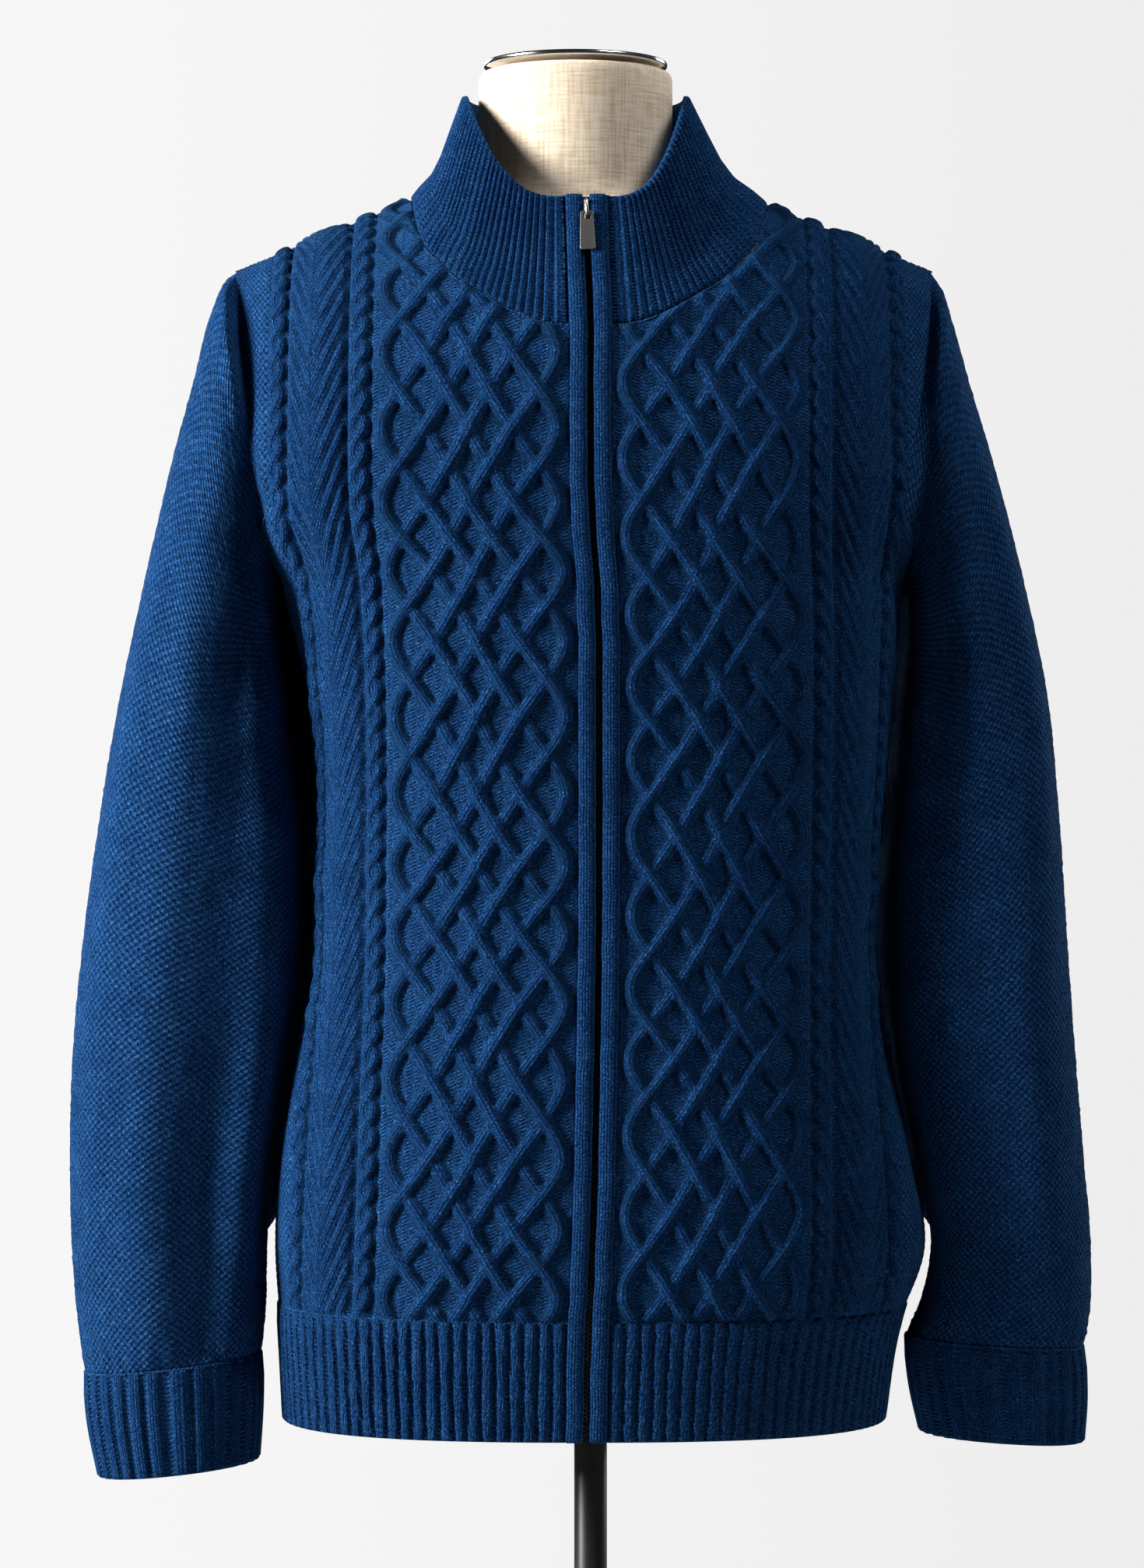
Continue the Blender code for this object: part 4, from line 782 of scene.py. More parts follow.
def moss_relief(s, v):
    """The small bumps of moss stitch, and the stitch coordinates that the yarn follows."""
    bumps = np.cos(math.pi * s / MOSS) * np.cos(math.pi * v / MOSS)
    return 0.00032 * bumps, np.stack([s / MOSS, v / MOSS, np.zeros_like(s)], axis=1)


BACK_FOLDS = (
    # from (round, up) to (round, up), width, height: drag lines at the blades, the waist and the hem
    (-0.19, 1.25, -0.10, 1.36, 0.012, 0.0022), (0.18, 1.24, 0.09, 1.37, 0.013, 0.0024),
    (-0.21, 1.16, -0.12, 1.19, 0.010, 0.0016), (0.21, 1.17, 0.11, 1.21, 0.011, 0.0018),
    (-0.20, 1.07, -0.03, 1.045, 0.009, 0.0020), (0.20, 1.06, 0.05, 1.085, 0.010, 0.0018),
    (-0.16, 1.00, 0.02, 1.015, 0.008, 0.0014), (0.19, 0.985, 0.03, 1.00, 0.009, 0.0016),
    (-0.15, 0.82, -0.13, 0.95, 0.014, 0.0022), (-0.05, 0.82, -0.06, 0.92, 0.013, 0.0014),
    (0.06, 0.82, 0.05, 0.93, 0.014, 0.0018), (0.15, 0.82, 0.14, 0.96, 0.013, 0.0022),
)


def back_relief(s, v):
    rise, stitches = moss_relief(s, v)
    return rise + soft_folds(s, v, BACK_FOLDS), stitches


low = RIB_TOP_Z + SEAM
right_arm, left_arm = back_armhole(1), back_armhole(-1)
neck_line = []
for t in np.linspace(-1, 1, 41):
    x = NECK_POINT_X * math.sin(t * math.pi / 2)
    r = back_where_x(x + ZIP_X_AT_YOKE, YOKE_Z)
    neck_line.append((r, behind_shoulder_v(r) - CUT_BACK if abs(t) == 1 else behind_v(r, back_neck_z(x))))
right_seam, left_seam = (
    [(sign * (back_side(z, sign) - CUT_BACK), z) for z in spaced(UNDERARM_Z, low, 0.010)[1:]] for sign in (1, -1)
)
right_top, left_top = (
    [(r, behind_shoulder_v(r) - CUT_BACK) for r in spaced(start[0], stop[0], 0.005)[1:-1]]
    for start, stop in ((neck_line[0], right_arm[0]), (left_arm[0], neck_line[-1]))
)
hem_line = [(r, low) for r in spaced(right_seam[-1][0], left_seam[-1][0], 0.010)[1:-1]]
left_side = left_top[::-1] + left_arm + left_seam
right_side = right_seam[::-1] + right_arm[::-1] + right_top[::-1]
BACK_REACH, PANELS_TOP = 0.2688, 1.56
back = knitted_panel(
    "moss_back", neck_line + left_side + hem_line[::-1] + right_side, behind_at, True,
    np.arange(-BACK_REACH, BACK_REACH + 0.0001, MOSS), np.arange(low - MOSS, PANELS_TOP, MOSS), back_relief,
)
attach(back, "cardigan_on_form")
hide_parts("back")

# ---------------------------------------------------------------------------------------------------------
# The two fronts: beside the zip a lattice of eight travelling strands, then a rope, a wide cable of nested
# arms and a second rope, and moss stitch to the side seam. The strands cross over and under each other.
LATTICE_EDGE, DIAMOND_W, DIAMONDS = 0.0190, 0.0255, 4
STRAND_HALF, STRAND_RISE, STRAND_LIFT = 0.0046, 0.0031, 0.0012
LATTICE_START = {1: (0.8321, 0.0430), -1: (0.8241, 0.0418)}  # each side's first turn at the edge, and its pitch
ROPES = ((0.1350, 0.0064), (0.1910, 0.0062))  # middle and half width
ROPE_PITCH, ROPE_RISE = 0.0152, 0.0026
WIDE_MIDDLE, WIDE_HALF, WIDE_PITCH, WIDE_RISE, WIDE_STEEP = 0.1635, 0.0185, 0.0172, 0.0042, 2.3
STITCH_ALONG, PURL_STITCH = 0.0029, (0.0026, 0.0021)
SUNK_LINES = ((0.1278, 0.0010), (0.1428, 0.0020), (0.1838, 0.0018), (0.1984, 0.0010))  # beside the ropes: where, depth
SUNK_HALF = 0.0012
FRONT_ROW = 0.00155
FRONT_COLUMNS = (
    # a front's net across: from, to, step
    (PANEL_EDGE - 0.0014, 0.1270, 0.00148), (0.1270, 0.1430, 0.0012), (0.1430, 0.1838, 0.00136),
    (0.1838, 0.1990, 0.0012), (0.1992, 0.2900, MOSS),
)
FRONT_FOLDS = {
    # drag lines from the armpit, at the waist and above the hem: (out, up) to (out, up), width, height
    1: (
        (0.245, 1.22, 0.175, 1.31, 0.012, 0.0022), (0.235, 1.15, 0.18, 1.24, 0.010, 0.0018),
        (0.25, 1.07, 0.13, 1.05, 0.012, 0.0016), (0.24, 0.99, 0.16, 1.01, 0.011, 0.0016),
        (0.22, 0.83, 0.21, 0.96, 0.015, 0.0024), (0.12, 0.82, 0.13, 0.90, 0.013, 0.0012),
    ),
    -1: (
        (0.24, 1.21, 0.165, 1.30, 0.011, 0.0024), (0.225, 1.13, 0.16, 1.21, 0.011, 0.0018),
        (0.24, 1.05, 0.12, 1.08, 0.012, 0.0014), (0.235, 0.98, 0.15, 0.99, 0.010, 0.0016),
        (0.215, 0.83, 0.20, 0.98, 0.014, 0.0024), (0.10, 0.82, 0.10, 0.90, 0.012, 0.0010),
    ),
}


def round_top(x, power=0.62):
    """A rounded ridge: 1 in the middle and 0 from -1 and +1 outwards."""
    return np.clip(1 - x**2, 0, 1) ** power


def purl_ground(a, v):
    """The flat purl ground between the cables: no height, and its own stitches."""
    return np.zeros_like(a), np.stack([a / PURL_STITCH[0], v / PURL_STITCH[1], np.full_like(a, 0.5)], axis=1)


def lattice_relief(a, v, side):
    """Eight strands that run up and down between the lattice's edges, turning round at each."""
    first, pitch = LATTICE_START[side]
    t = (v - first) / pitch + 0.05 * np.sin(v * 31.0 + side)
    out = a - LATTICE_EDGE
    row = np.round(2 * t)
    near_cross = np.maximum(np.cos(math.pi * (2 * t - row)), 0.0)
    falling_over = np.isin(row % 4, (0, 3))
    high, stitches = purl_ground(a, v)
    for n in range(8):
        phase = (t + n + 4) % 8
        reach = np.abs(phase - 4)
        rising = phase >= 4
        near_edge = np.minimum(reach, 4 - reach)
        turned_in = np.sqrt(near_edge**2 + 0.10) - math.sqrt(0.10) * np.exp(-2.2 * near_edge**2)
        middle = np.where(reach <= 2, turned_in, 4 - turned_in) * DIAMOND_W
        slope = near_edge / np.sqrt(near_edge**2 + 0.10) * DIAMOND_W / pitch
        off = (out - middle) / np.sqrt(1 + slope**2) / STRAND_HALF
        body = round_top(off, 0.48)
        sign = np.where(rising == falling_over, -1.0, 1.0)
        free = np.clip((near_edge - 0.30) / 0.35, 0, 1)
        tall = body * (STRAND_RISE + sign * free * near_cross**1.3 * STRAND_LIFT)
        above = (tall > high) & (np.abs(off) < 1)
        high = np.where(above, tall, high)
        run = v * np.sqrt(1 + slope**2) / STITCH_ALONG
        stitches[above] = np.stack([off + 1.0, run, np.ones_like(off)], axis=1)[above]
    return high, stitches


def rope_relief(a, v, middle, half):
    """A rope of two strands, each passing over the other in turn and leaning out as it falls."""
    turn = math.pi * v / ROPE_PITCH + middle * 40
    high, stitches = purl_ground(a, v)
    for sign in (1, -1):
        centre = sign * np.cos(turn) * half * 0.50
        over = sign * np.sin(turn)
        off = (a - middle - centre) / (half * 0.58)
        tall = round_top(off) * (ROPE_RISE + 0.0008 * over)
        above = (tall > high) & (np.abs(off) < 1)
        high = np.where(above, tall, high)
        stitches[above] = np.stack([off + 1.0, v / STITCH_ALONG, np.ones_like(off)], axis=1)[above]
    return high, stitches


def wide_relief(a, v):
    """The wide cable: arms that rise steeply to both sides, one in its middle and parted towards its edges."""
    off = (a - WIDE_MIDDLE) / WIDE_HALF
    phase = (v - WIDE_STEEP * np.abs(a - WIDE_MIDDLE)) / WIDE_PITCH
    share = phase % 1.0
    arm = np.sin(np.clip(share, 0, 1) * math.pi) ** 0.7
    dome = round_top(off / (0.91 + 0.09 * arm), 0.45)
    parted = np.clip((np.abs(off) - 0.08) / 0.45, 0.0, 1.0)
    high = WIDE_RISE * dome * (1.0 - 0.85 * (1.0 - arm) * parted)
    stitches = np.stack([share * 2 * np.sign(off) + 4, v * 1.15 / STITCH_ALONG, np.ones_like(a)], axis=1)
    return np.where(np.abs(off) < 1, high, 0.0), stitches


def front_relief(side):
    """What raises a front, as a function of flat places."""

    def relief(s, v):
        a = np.abs(s)
        high, stitches = moss_relief(s, v)
        plain = a < ROPES[1][0] + ROPES[1][1]
        high = np.where(plain, 0.0, high)
        stitches[plain] = purl_ground(a, v)[1][plain]
        ropes = [rope_relief(a, v, *rope) for rope in ROPES]
        for taller, rows in (lattice_relief(a, v, side), ropes[0], wide_relief(a, v), ropes[1]):
            above = taller > np.maximum(high, 0.00005)
            high = np.where(above, taller, high)
            stitches[above] = rows[above]
        for line, deep in SUNK_LINES:
            high = high - deep * np.exp(-(((a - line) / SUNK_HALF) ** 2))
        return high + soft_folds(a, v, FRONT_FOLDS[side]), stitches

    return relief


def front_neckline(side, count=40):
    """Flat points of the neckline from the zip band to the shoulder seam."""
    line = []
    for t in np.linspace(0, 1, count):
        place = PANEL_EDGE + (NECK_POINT_X - PANEL_EDGE) * math.sin(t * math.pi / 2) ** 0.85
        s = s_where_x(side * place + ZIP_X_AT_YOKE, YOKE_Z)
        z = smooth_at(NECKLINE[:, 0], NECKLINE[:, 1], place)
        line.append((s, v_at_height(s, z) if t < 1 else shoulder_v(s) - CUT_BACK))
    return line


for side, name, node in ((1, "cabled_front_left", "front_left"), (-1, "cabled_front_right", "front_right")):
    low = RIB_TOP_Z + SEAM
    neck, arm = front_neckline(side), front_armhole(side)
    shoulder = [(s, shoulder_v(s) - CUT_BACK) for s in spaced(neck[-1][0], arm[0][0], 0.005)[1:-1]]
    seam = [(side * (side_at(z, side) - CUT_BACK), z) for z in spaced(UNDERARM_Z, low, 0.010)[1:]]
    hem = [(s, low) for s in spaced(seam[-1][0], side * PANEL_EDGE, 0.008)[1:]]
    zip_edge = [(side * PANEL_EDGE, v) for v in spaced(low, neck[0][1], 0.010)[1:-1]]
    columns = np.concatenate([np.arange(*column) for column in FRONT_COLUMNS])
    front = knitted_panel(
        name, neck + shoulder + arm + seam + hem + zip_edge, cloth_at, False,
        columns if side > 0 else -columns[::-1], np.arange(low - FRONT_ROW, PANELS_TOP, FRONT_ROW), front_relief(side),
    )
    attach(front, "cardigan_on_form")
    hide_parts(node)

# ---------------------------------------------------------------------------------------------------------
# The hem: three lengths of two-by-two rib, knitted on below the fronts and the back.
# The ribs stand up as pairs of plain columns with a deep purl groove between them.
HEM_RIB_RISE = 0.0023


def rib_height(phase):
    """A rib's section: a pair of columns with a slight crease between them, and a groove beside; phase 0 to 1."""
    off = (phase % 1.0 - 0.5) * 2
    body = np.clip(1 - np.abs(off / 0.74) ** 2.6, 0, 1) ** 0.6
    return body - 0.14 * np.exp(-((off / 0.13) ** 2)) * body


def rib_stitches(phase, along):
    """Two plain columns to a rib, and purl in the groove."""
    off = (phase % 1.0 - 0.5) * 2
    kind = np.where(np.abs(off) < 0.62, 1.0, 0.5)
    return np.stack([off / 0.62 + 1.0 + 0 * along, along / 0.0027 + 0 * off, kind + 0 * along], axis=-1)


def strip_mesh(name, rows, stitches, closed_round):
    """A closed shell from rows of points: rows go down the face, round the edge, up the inside and round again."""
    count_rows, count = rows.shape[:2]
    index = np.arange(count_rows * count).reshape(count_rows, count)
    beside = np.roll(index, -1, axis=1) if closed_round else index[:, 1:]
    here = index if closed_round else index[:, :-1]
    corners = (here, np.roll(here, -1, axis=0), np.roll(beside, -1, axis=0), beside)
    faces = np.stack(corners, axis=-1).reshape(-1, 4).tolist()
    for cap in () if closed_round else (index[:, 0].tolist(), index[::-1, -1].tolist()):
        half = len(cap) // 2
        faces += [(cap[k], cap[-1 - k], cap[-2 - k], cap[k + 1]) for k in range(half - 1)]
        if len(cap) % 2:
            faces.append((cap[half - 1], cap[half + 1], cap[half]))
    made = cloth_object(name, rows.reshape(-1, 3), faces, stitches.reshape(-1, 3))
    turn_out(made)
    return made


def turn_out(made):
    """Faces a closed mesh outwards."""
    shape = bmesh.new()
    shape.from_mesh(made.data)
    bmesh.ops.recalc_face_normals(shape, faces=shape.faces)
    if shape.calc_volume(signed=True) < 0:
        bmesh.ops.reverse_faces(shape, faces=shape.faces)
    shape.to_mesh(made.data)
    shape.free()


def hem_rows(start_of, stop_of, behind, count, seed):
    """The hem's points: the ribbed face from top to bottom, the rolled edge and the inside."""
    rng = np.random.default_rng(seed)
    wander = np.interp(np.linspace(0, 1, 600), np.linspace(0, 1, 40), rng.normal(0, 0.07, 40))
    share = np.linspace(0, 1, count * 12 + 1)
    levels = [(z, 1.0) for z in np.linspace(RIB_TOP_Z, HEM_Z + 0.0016, 34)]
    levels += [(HEM_Z + 0.0005, 0.55), (HEM_Z, -0.2), (HEM_Z + 0.0005, -1.0)]
    levels += [(z, -1.0) for z in np.linspace(HEM_Z + 0.002, RIB_TOP_Z, 9)]
    rows, stitches = [], []
    for z, way in levels:
        low, high = start_of(z), stop_of(z)
        base = flat_grid(low + (high - low) * share, np.array([z - 0.001, z, z + 0.001]), behind)
        normal = np.cross(np.gradient(base[1], axis=0), base[2] - base[0])
        normal /= np.linalg.norm(normal, axis=1, keepdims=True)
        phase = share * count + np.interp((share * 7.0 + z * 9) % 1, np.linspace(0, 1, 600), wander)
        full = 0.55 + 0.45 * min(1.0, (RIB_TOP_Z - z) / 0.012)
        ends = np.clip(np.minimum(share, 1 - share) * count * 3, 0, 1)
        raised = rib_height(phase) * HEM_RIB_RISE * full * max(way, 0.0) * ends
        rise = raised if way > 0 else np.full_like(share, WALL * 0.9 * way)
        rows.append(base[1] + normal * rise[:, None])
        stitches.append(rib_stitches(phase, np.full_like(share, z if way > 0 else 2 * HEM_Z - z)))
    return np.array(rows), np.array(stitches)


def hem_seam(side):
    return lambda z: side * (side_at(z, side) - CUT_BACK)


HEMS = (
    # name, node, whether it lies behind, its start and its stop at a height, ribs, cut
    ("ribbed_hem_left", "hem_rib_left", False, lambda z: PANEL_EDGE, hem_seam(1), 29, (0.232, 0.069)),
    ("ribbed_hem_right", "hem_rib_right", False, hem_seam(-1), lambda z: -PANEL_EDGE, 29, (0.228, 0.069)),
    (
        "ribbed_hem_back", "hem_rib_back", True,
        lambda z: -back_side(z, -1) + CUT_BACK, lambda z: back_side(z, 1) - CUT_BACK, 60, (0.47, 0.069),
    ),
)
for seed, (name, node, behind, start_of, stop_of, count, cut) in enumerate(HEMS):
    rows, stitches = hem_rows(start_of, stop_of, behind, count, 11 + seed)
    hem = strip_mesh(name, rows, stitches, False)
    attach(hem, "cardigan_on_form")
    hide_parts(node)

# ---------------------------------------------------------------------------------------------------------
# The sleeves: moss stitch tubes sewn into the armholes, hanging full and a little bent at the elbow.
# Each ring has an outer and an inner point as seen from the front, a middle depth and a half depth.
SLEEVE_RINGS = {
    -1: np.array((
        (0.2150, 1.4190, 0.1840, 1.2425, 0.000, 0.066), (0.2235, 1.3980, 0.1845, 1.2330, 0.000, 0.068),
        (0.2320, 1.3640, 0.1835, 1.2180, -0.001, 0.068), (0.2430, 1.3240, 0.1810, 1.1980, -0.002, 0.066),
        (0.2535, 1.2810, 0.1785, 1.1760, -0.003, 0.063), (0.2650, 1.2300, 0.1755, 1.1480, -0.004, 0.060),
        (0.2780, 1.1680, 0.1700, 1.1060, -0.005, 0.057), (0.2885, 1.1050, 0.1665, 1.0620, -0.006, 0.055),
        (0.2985, 1.0300, 0.1690, 1.0080, -0.006, 0.054), (0.3050, 0.9600, 0.1770, 0.9540, -0.006, 0.053),
        (0.3068, 0.8900, 0.1868, 0.8880, -0.006, 0.052), (0.3050, 0.8360, 0.1892, 0.8380, -0.006, 0.050),
        (0.3012, 0.7960, 0.1905, 0.8040, -0.006, 0.047), (0.2975, 0.7705, 0.1930, 0.7815, -0.006, 0.044),
    )),
    1: np.array((
        (0.2140, 1.4140, 0.1935, 1.2425, 0.000, 0.066), (0.2205, 1.3930, 0.1950, 1.2340, 0.000, 0.068),
        (0.2295, 1.3600, 0.1960, 1.2200, -0.001, 0.068), (0.2400, 1.3260, 0.1960, 1.2020, -0.002, 0.066),
        (0.2515, 1.2850, 0.1950, 1.1820, -0.003, 0.063), (0.2635, 1.2370, 0.1930, 1.1560, -0.004, 0.060),
        (0.2765, 1.1740, 0.1890, 1.1160, -0.005, 0.057), (0.2832, 1.1050, 0.1850, 1.0660, -0.006, 0.055),
        (0.2878, 1.0320, 0.1835, 1.0100, -0.006, 0.054), (0.2928, 0.9620, 0.1870, 0.9560, -0.006, 0.053),
        (0.2982, 0.8960, 0.1995, 0.8930, -0.006, 0.052), (0.3022, 0.8440, 0.2075, 0.8440, -0.006, 0.050),
        (0.3015, 0.8060, 0.2010, 0.8110, -0.006, 0.047), (0.2978, 0.7860, 0.1930, 0.7920, -0.006, 0.044),
    )),
}
RING_ROUNDNESS = 0.9
SLEEVE_AROUND, SLEEVE_ALONG, SLEEVE_INSIDE, SLEEVE_GIRTH = 150, 262, 46, 0.36
TUCK_HEIGHTS, TUCK_CLEAR, CREASED, CREASE_MAIN = (0.800, 0.880, 1.222, 1.262), 0.0075, 1.5, 0.003
TUCK_TURNS = (0.50, 0.565, 0.70, 0.80)
GATHERS, GATHER_RISE, SLEEVE_STITCH_RISE = 31, 0.0010, 0.00026
SLEEVE_SHAPE = (
    # the cut's own soft folds: where round the sleeve, how wide, how high, from and to which share down
    (0.14, 0.055, 0.0035, 0.0, 0.75), (0.27, 0.060, -0.0030, 0.1, 0.95), (0.38, 0.050, 0.0030, 0.45, 1.0),
    (0.62, 0.060, -0.0025, 0.1, 0.7), (0.80, 0.060, 0.0025, 0.2, 0.9),
)
SLEEVE_CREASES = {
    #     creases drawn on the flat: from (round, down) to (round, down), width, height; a quarter round is the front
    1: (
        (0.225, 0.00, 0.25, 0.58, 0.017, 0.0048), (0.335, 0.02, 0.36, 0.56, 0.015, -0.0040),
        (0.10, 0.05, 0.14, 0.55, 0.020, 0.0018), (0.40, 0.10, 0.20, 0.26, 0.016, 0.0022),
        (0.46, 0.22, 0.30, 0.36, 0.016, 0.0020), (0.47, 0.36, 0.24, 0.44, 0.018, 0.0020),
        (0.34, 0.48, 0.30, 0.80, 0.018, 0.0026), (0.20, 0.55, 0.18, 0.95, 0.020, 0.0018),
        (0.45, 0.60, 0.24, 0.68, 0.016, 0.0018), (0.10, 0.78, 0.40, 0.90, 0.018, 0.0020),
        (0.42, 0.80, 0.22, 0.96, 0.016, 0.0020), (0.60, 0.08, 0.78, 0.26, 0.018, 0.0024),
        (0.55, 0.36, 0.80, 0.46, 0.018, 0.0022), (0.66, 0.50, 0.70, 0.92, 0.022, 0.0022),
        (0.90, 0.30, 0.86, 0.80, 0.022, 0.0018), (0.55, 0.78, 0.82, 0.90, 0.018, 0.0018),
    ),
    -1: (
        (0.212, 0.00, 0.225, 0.64, 0.017, 0.0054), (0.315, 0.02, 0.315, 0.62, 0.015, -0.0046),
        (0.33, 0.55, 0.30, 1.10, 0.015, -0.0072), (0.222, 0.48, 0.232, 1.12, 0.018, 0.0058),
        (0.385, 0.66, 0.385, 1.0, 0.015, 0.0034), (0.10, 0.04, 0.11, 0.62, 0.018, 0.0020),
        (0.41, 0.08, 0.22, 0.24, 0.016, 0.0024), (0.46, 0.20, 0.28, 0.35, 0.016, 0.0020),
        (0.47, 0.38, 0.26, 0.46, 0.018, 0.0022), (0.40, 0.56, 0.38, 0.92, 0.020, 0.0022),
        (0.14, 0.62, 0.10, 0.94, 0.020, 0.0016), (0.12, 0.80, 0.36, 0.94, 0.018, 0.0022),
        (0.60, 0.10, 0.76, 0.28, 0.018, 0.0022), (0.54, 0.34, 0.80, 0.44, 0.018, 0.0022),
        (0.68, 0.52, 0.66, 0.90, 0.022, 0.0022), (0.88, 0.28, 0.88, 0.84, 0.022, 0.0018),
        (0.56, 0.80, 0.84, 0.92, 0.018, 0.0018),
    ),
}


def sleeve_ring(row, side, turns, swell=0.0):
    """Points of a sleeve ring; turn 0 is its outer or top side and a quarter its front."""
    x_out, z_out, x_in, z_in, y, deep = row
    out = np.array([(x_out - x_in) / 2, (z_out - z_in) / 2])
    middle = np.array([(x_out + x_in) / 2, (z_out + z_in) / 2])
    size = 1 + swell / np.hypot(*out)
    along = signed_power(np.cos(turns * 2 * math.pi), RING_ROUNDNESS) * size
    forward = signed_power(np.sin(turns * 2 * math.pi), RING_ROUNDNESS) * (deep + swell)
    return np.stack([side * (middle[0] + out[0] * along), y - forward, middle[1] + out[1] * along], axis=-1)


def armhole_ring(side, turns, rise):
    """The first ring of a sleeve, in the body's surface just past the armhole's edge."""
    gap = SEAM * 1.2
    front_line, back_line = front_armhole(side, 16), back_armhole(-side, 16)
    ring = []
    for turn in turns:
        t = turn * 2
        share = (t if t <= 1 else 2 - t) * 15
        line, surface = (front_line, cloth_at) if t <= 1 else (back_line, behind_at)
        n = min(int(share), 14)
        (s0, v0), (s1, v1) = line[n], line[n + 1]
        s, v = s0 + (s1 - s0) * (share - n), v0 + (v1 - v0) * (share - n)
        out = math.copysign(1.0, s)
        along = np.array([(s1 - s0) * out, v1 - v0])
        along /= np.linalg.norm(along)
        s, v = s - along[1] * gap * out, v + max(along[0], 0.0) * gap
        if share < 0.4:
            v += SEAM * (1 - share / 0.4)
        if share > 14.99:
            v = UNDERARM_Z + gap
        ring.append(surface(s, v) + outward_at(surface, s, v) * rise)
    return np.array(ring)


def through_rings(rings, places, at):
    """Points between control rings, by a smooth curve through each ring in turn."""
    slopes = np.gradient(rings, places, axis=0)
    k = np.clip(np.searchsorted(places, at, side="right") - 1, 0, len(places) - 2)
    steps = places[k + 1] - places[k]
    t, step = ((at - places[k]) / steps)[:, None, None], steps[:, None, None]
    return eased(t, step, rings[k], rings[k + 1], slopes[k], slopes[k + 1])


def sleeve_swell(turns, share):
    rise = np.zeros_like(turns)
    for middle, wide, high, start, stop in SLEEVE_SHAPE:
        down = (share - start) / (stop - start)
        if 0 < down < 1:
            rise += high * np.exp(-(((turns - middle) / wide) ** 2)) * math.sin(down * math.pi)
    return rise


def ring_normals(points):
    """Outward directions on rows of rings that close on themselves."""
    across = np.roll(points, -1, axis=1) - np.roll(points, 1, axis=1)
    down = np.gradient(points, axis=0)
    normals = np.cross(down, across)
    normals /= np.maximum(np.linalg.norm(normals, axis=2, keepdims=True), 1e-12)
    middle = points.mean(axis=1, keepdims=True)
    if np.sum(normals * (points - middle)) < 0:
        normals = -normals
    return normals


def tucked_in(points, turns, side):
    """The back of each sleeve falls in against the body's side, so no light comes through between them."""
    tucked = points.copy()
    heights = points[:, SLEEVE_AROUND * 5 // 8, 2]
    for n, z in enumerate(heights):
        reach = np.interp(z, TUCK_HEIGHTS, (0.0, 1.0, 1.0, 0.0))
        if reach <= 0:
            continue
        _, x, y, _, _ = section(z)
        behind = (side * x > 0) & (y > 0)
        order = np.argsort(y[behind])
        edge = np.interp(points[n, :, 1], y[behind][order], np.abs(x[behind][order])) + TUCK_CLEAR
        reach = reach**2 * (3 - 2 * reach)
        weight = reach * np.interp(turns, TUCK_TURNS, (0.0, 1.0, 1.0, 0.0))
        weight = weight**2 * (3 - 2 * weight)
        out = side * points[n, :, 0]
        tucked[n, :, 0] = side * np.where(out > edge, out + (edge - out) * weight, out)
    return tucked


def sleeve_fold(side, turns, shares, length):
    """The height of a sleeve's creases, drawn on its flat: a small one is deepened a little."""
    fold = np.zeros((len(shares), len(turns)))
    for turn0, down0, turn1, down1, wide, high in SLEEVE_CREASES[side]:
        x, y = (turns[None, :] - turn0) * SLEEVE_GIRTH, (shares[:, None] - down0) * length
        off, ends = beside_line(x, y, (turn1 - turn0) * SLEEVE_GIRTH, (down1 - down0) * length, 0.8)
        profile = np.exp(-((off / wide) ** 2)) - 0.45 * np.exp(-((off / (wide * 2.0)) ** 2))
        fold += high * (CREASED if 0 < high < CREASE_MAIN else 1.0) * profile * ends
    return fold


def quads_between(index, outwards):
    """Quads between rows of point numbers that close on themselves."""
    corners = [index[:-1], index[1:], np.roll(index[1:], -1, axis=1), np.roll(index[:-1], -1, axis=1)]
    if not outwards:
        corners = [corners[0], corners[3], corners[2], corners[1]]
    return np.stack(corners, axis=-1).reshape(-1, 4).tolist()


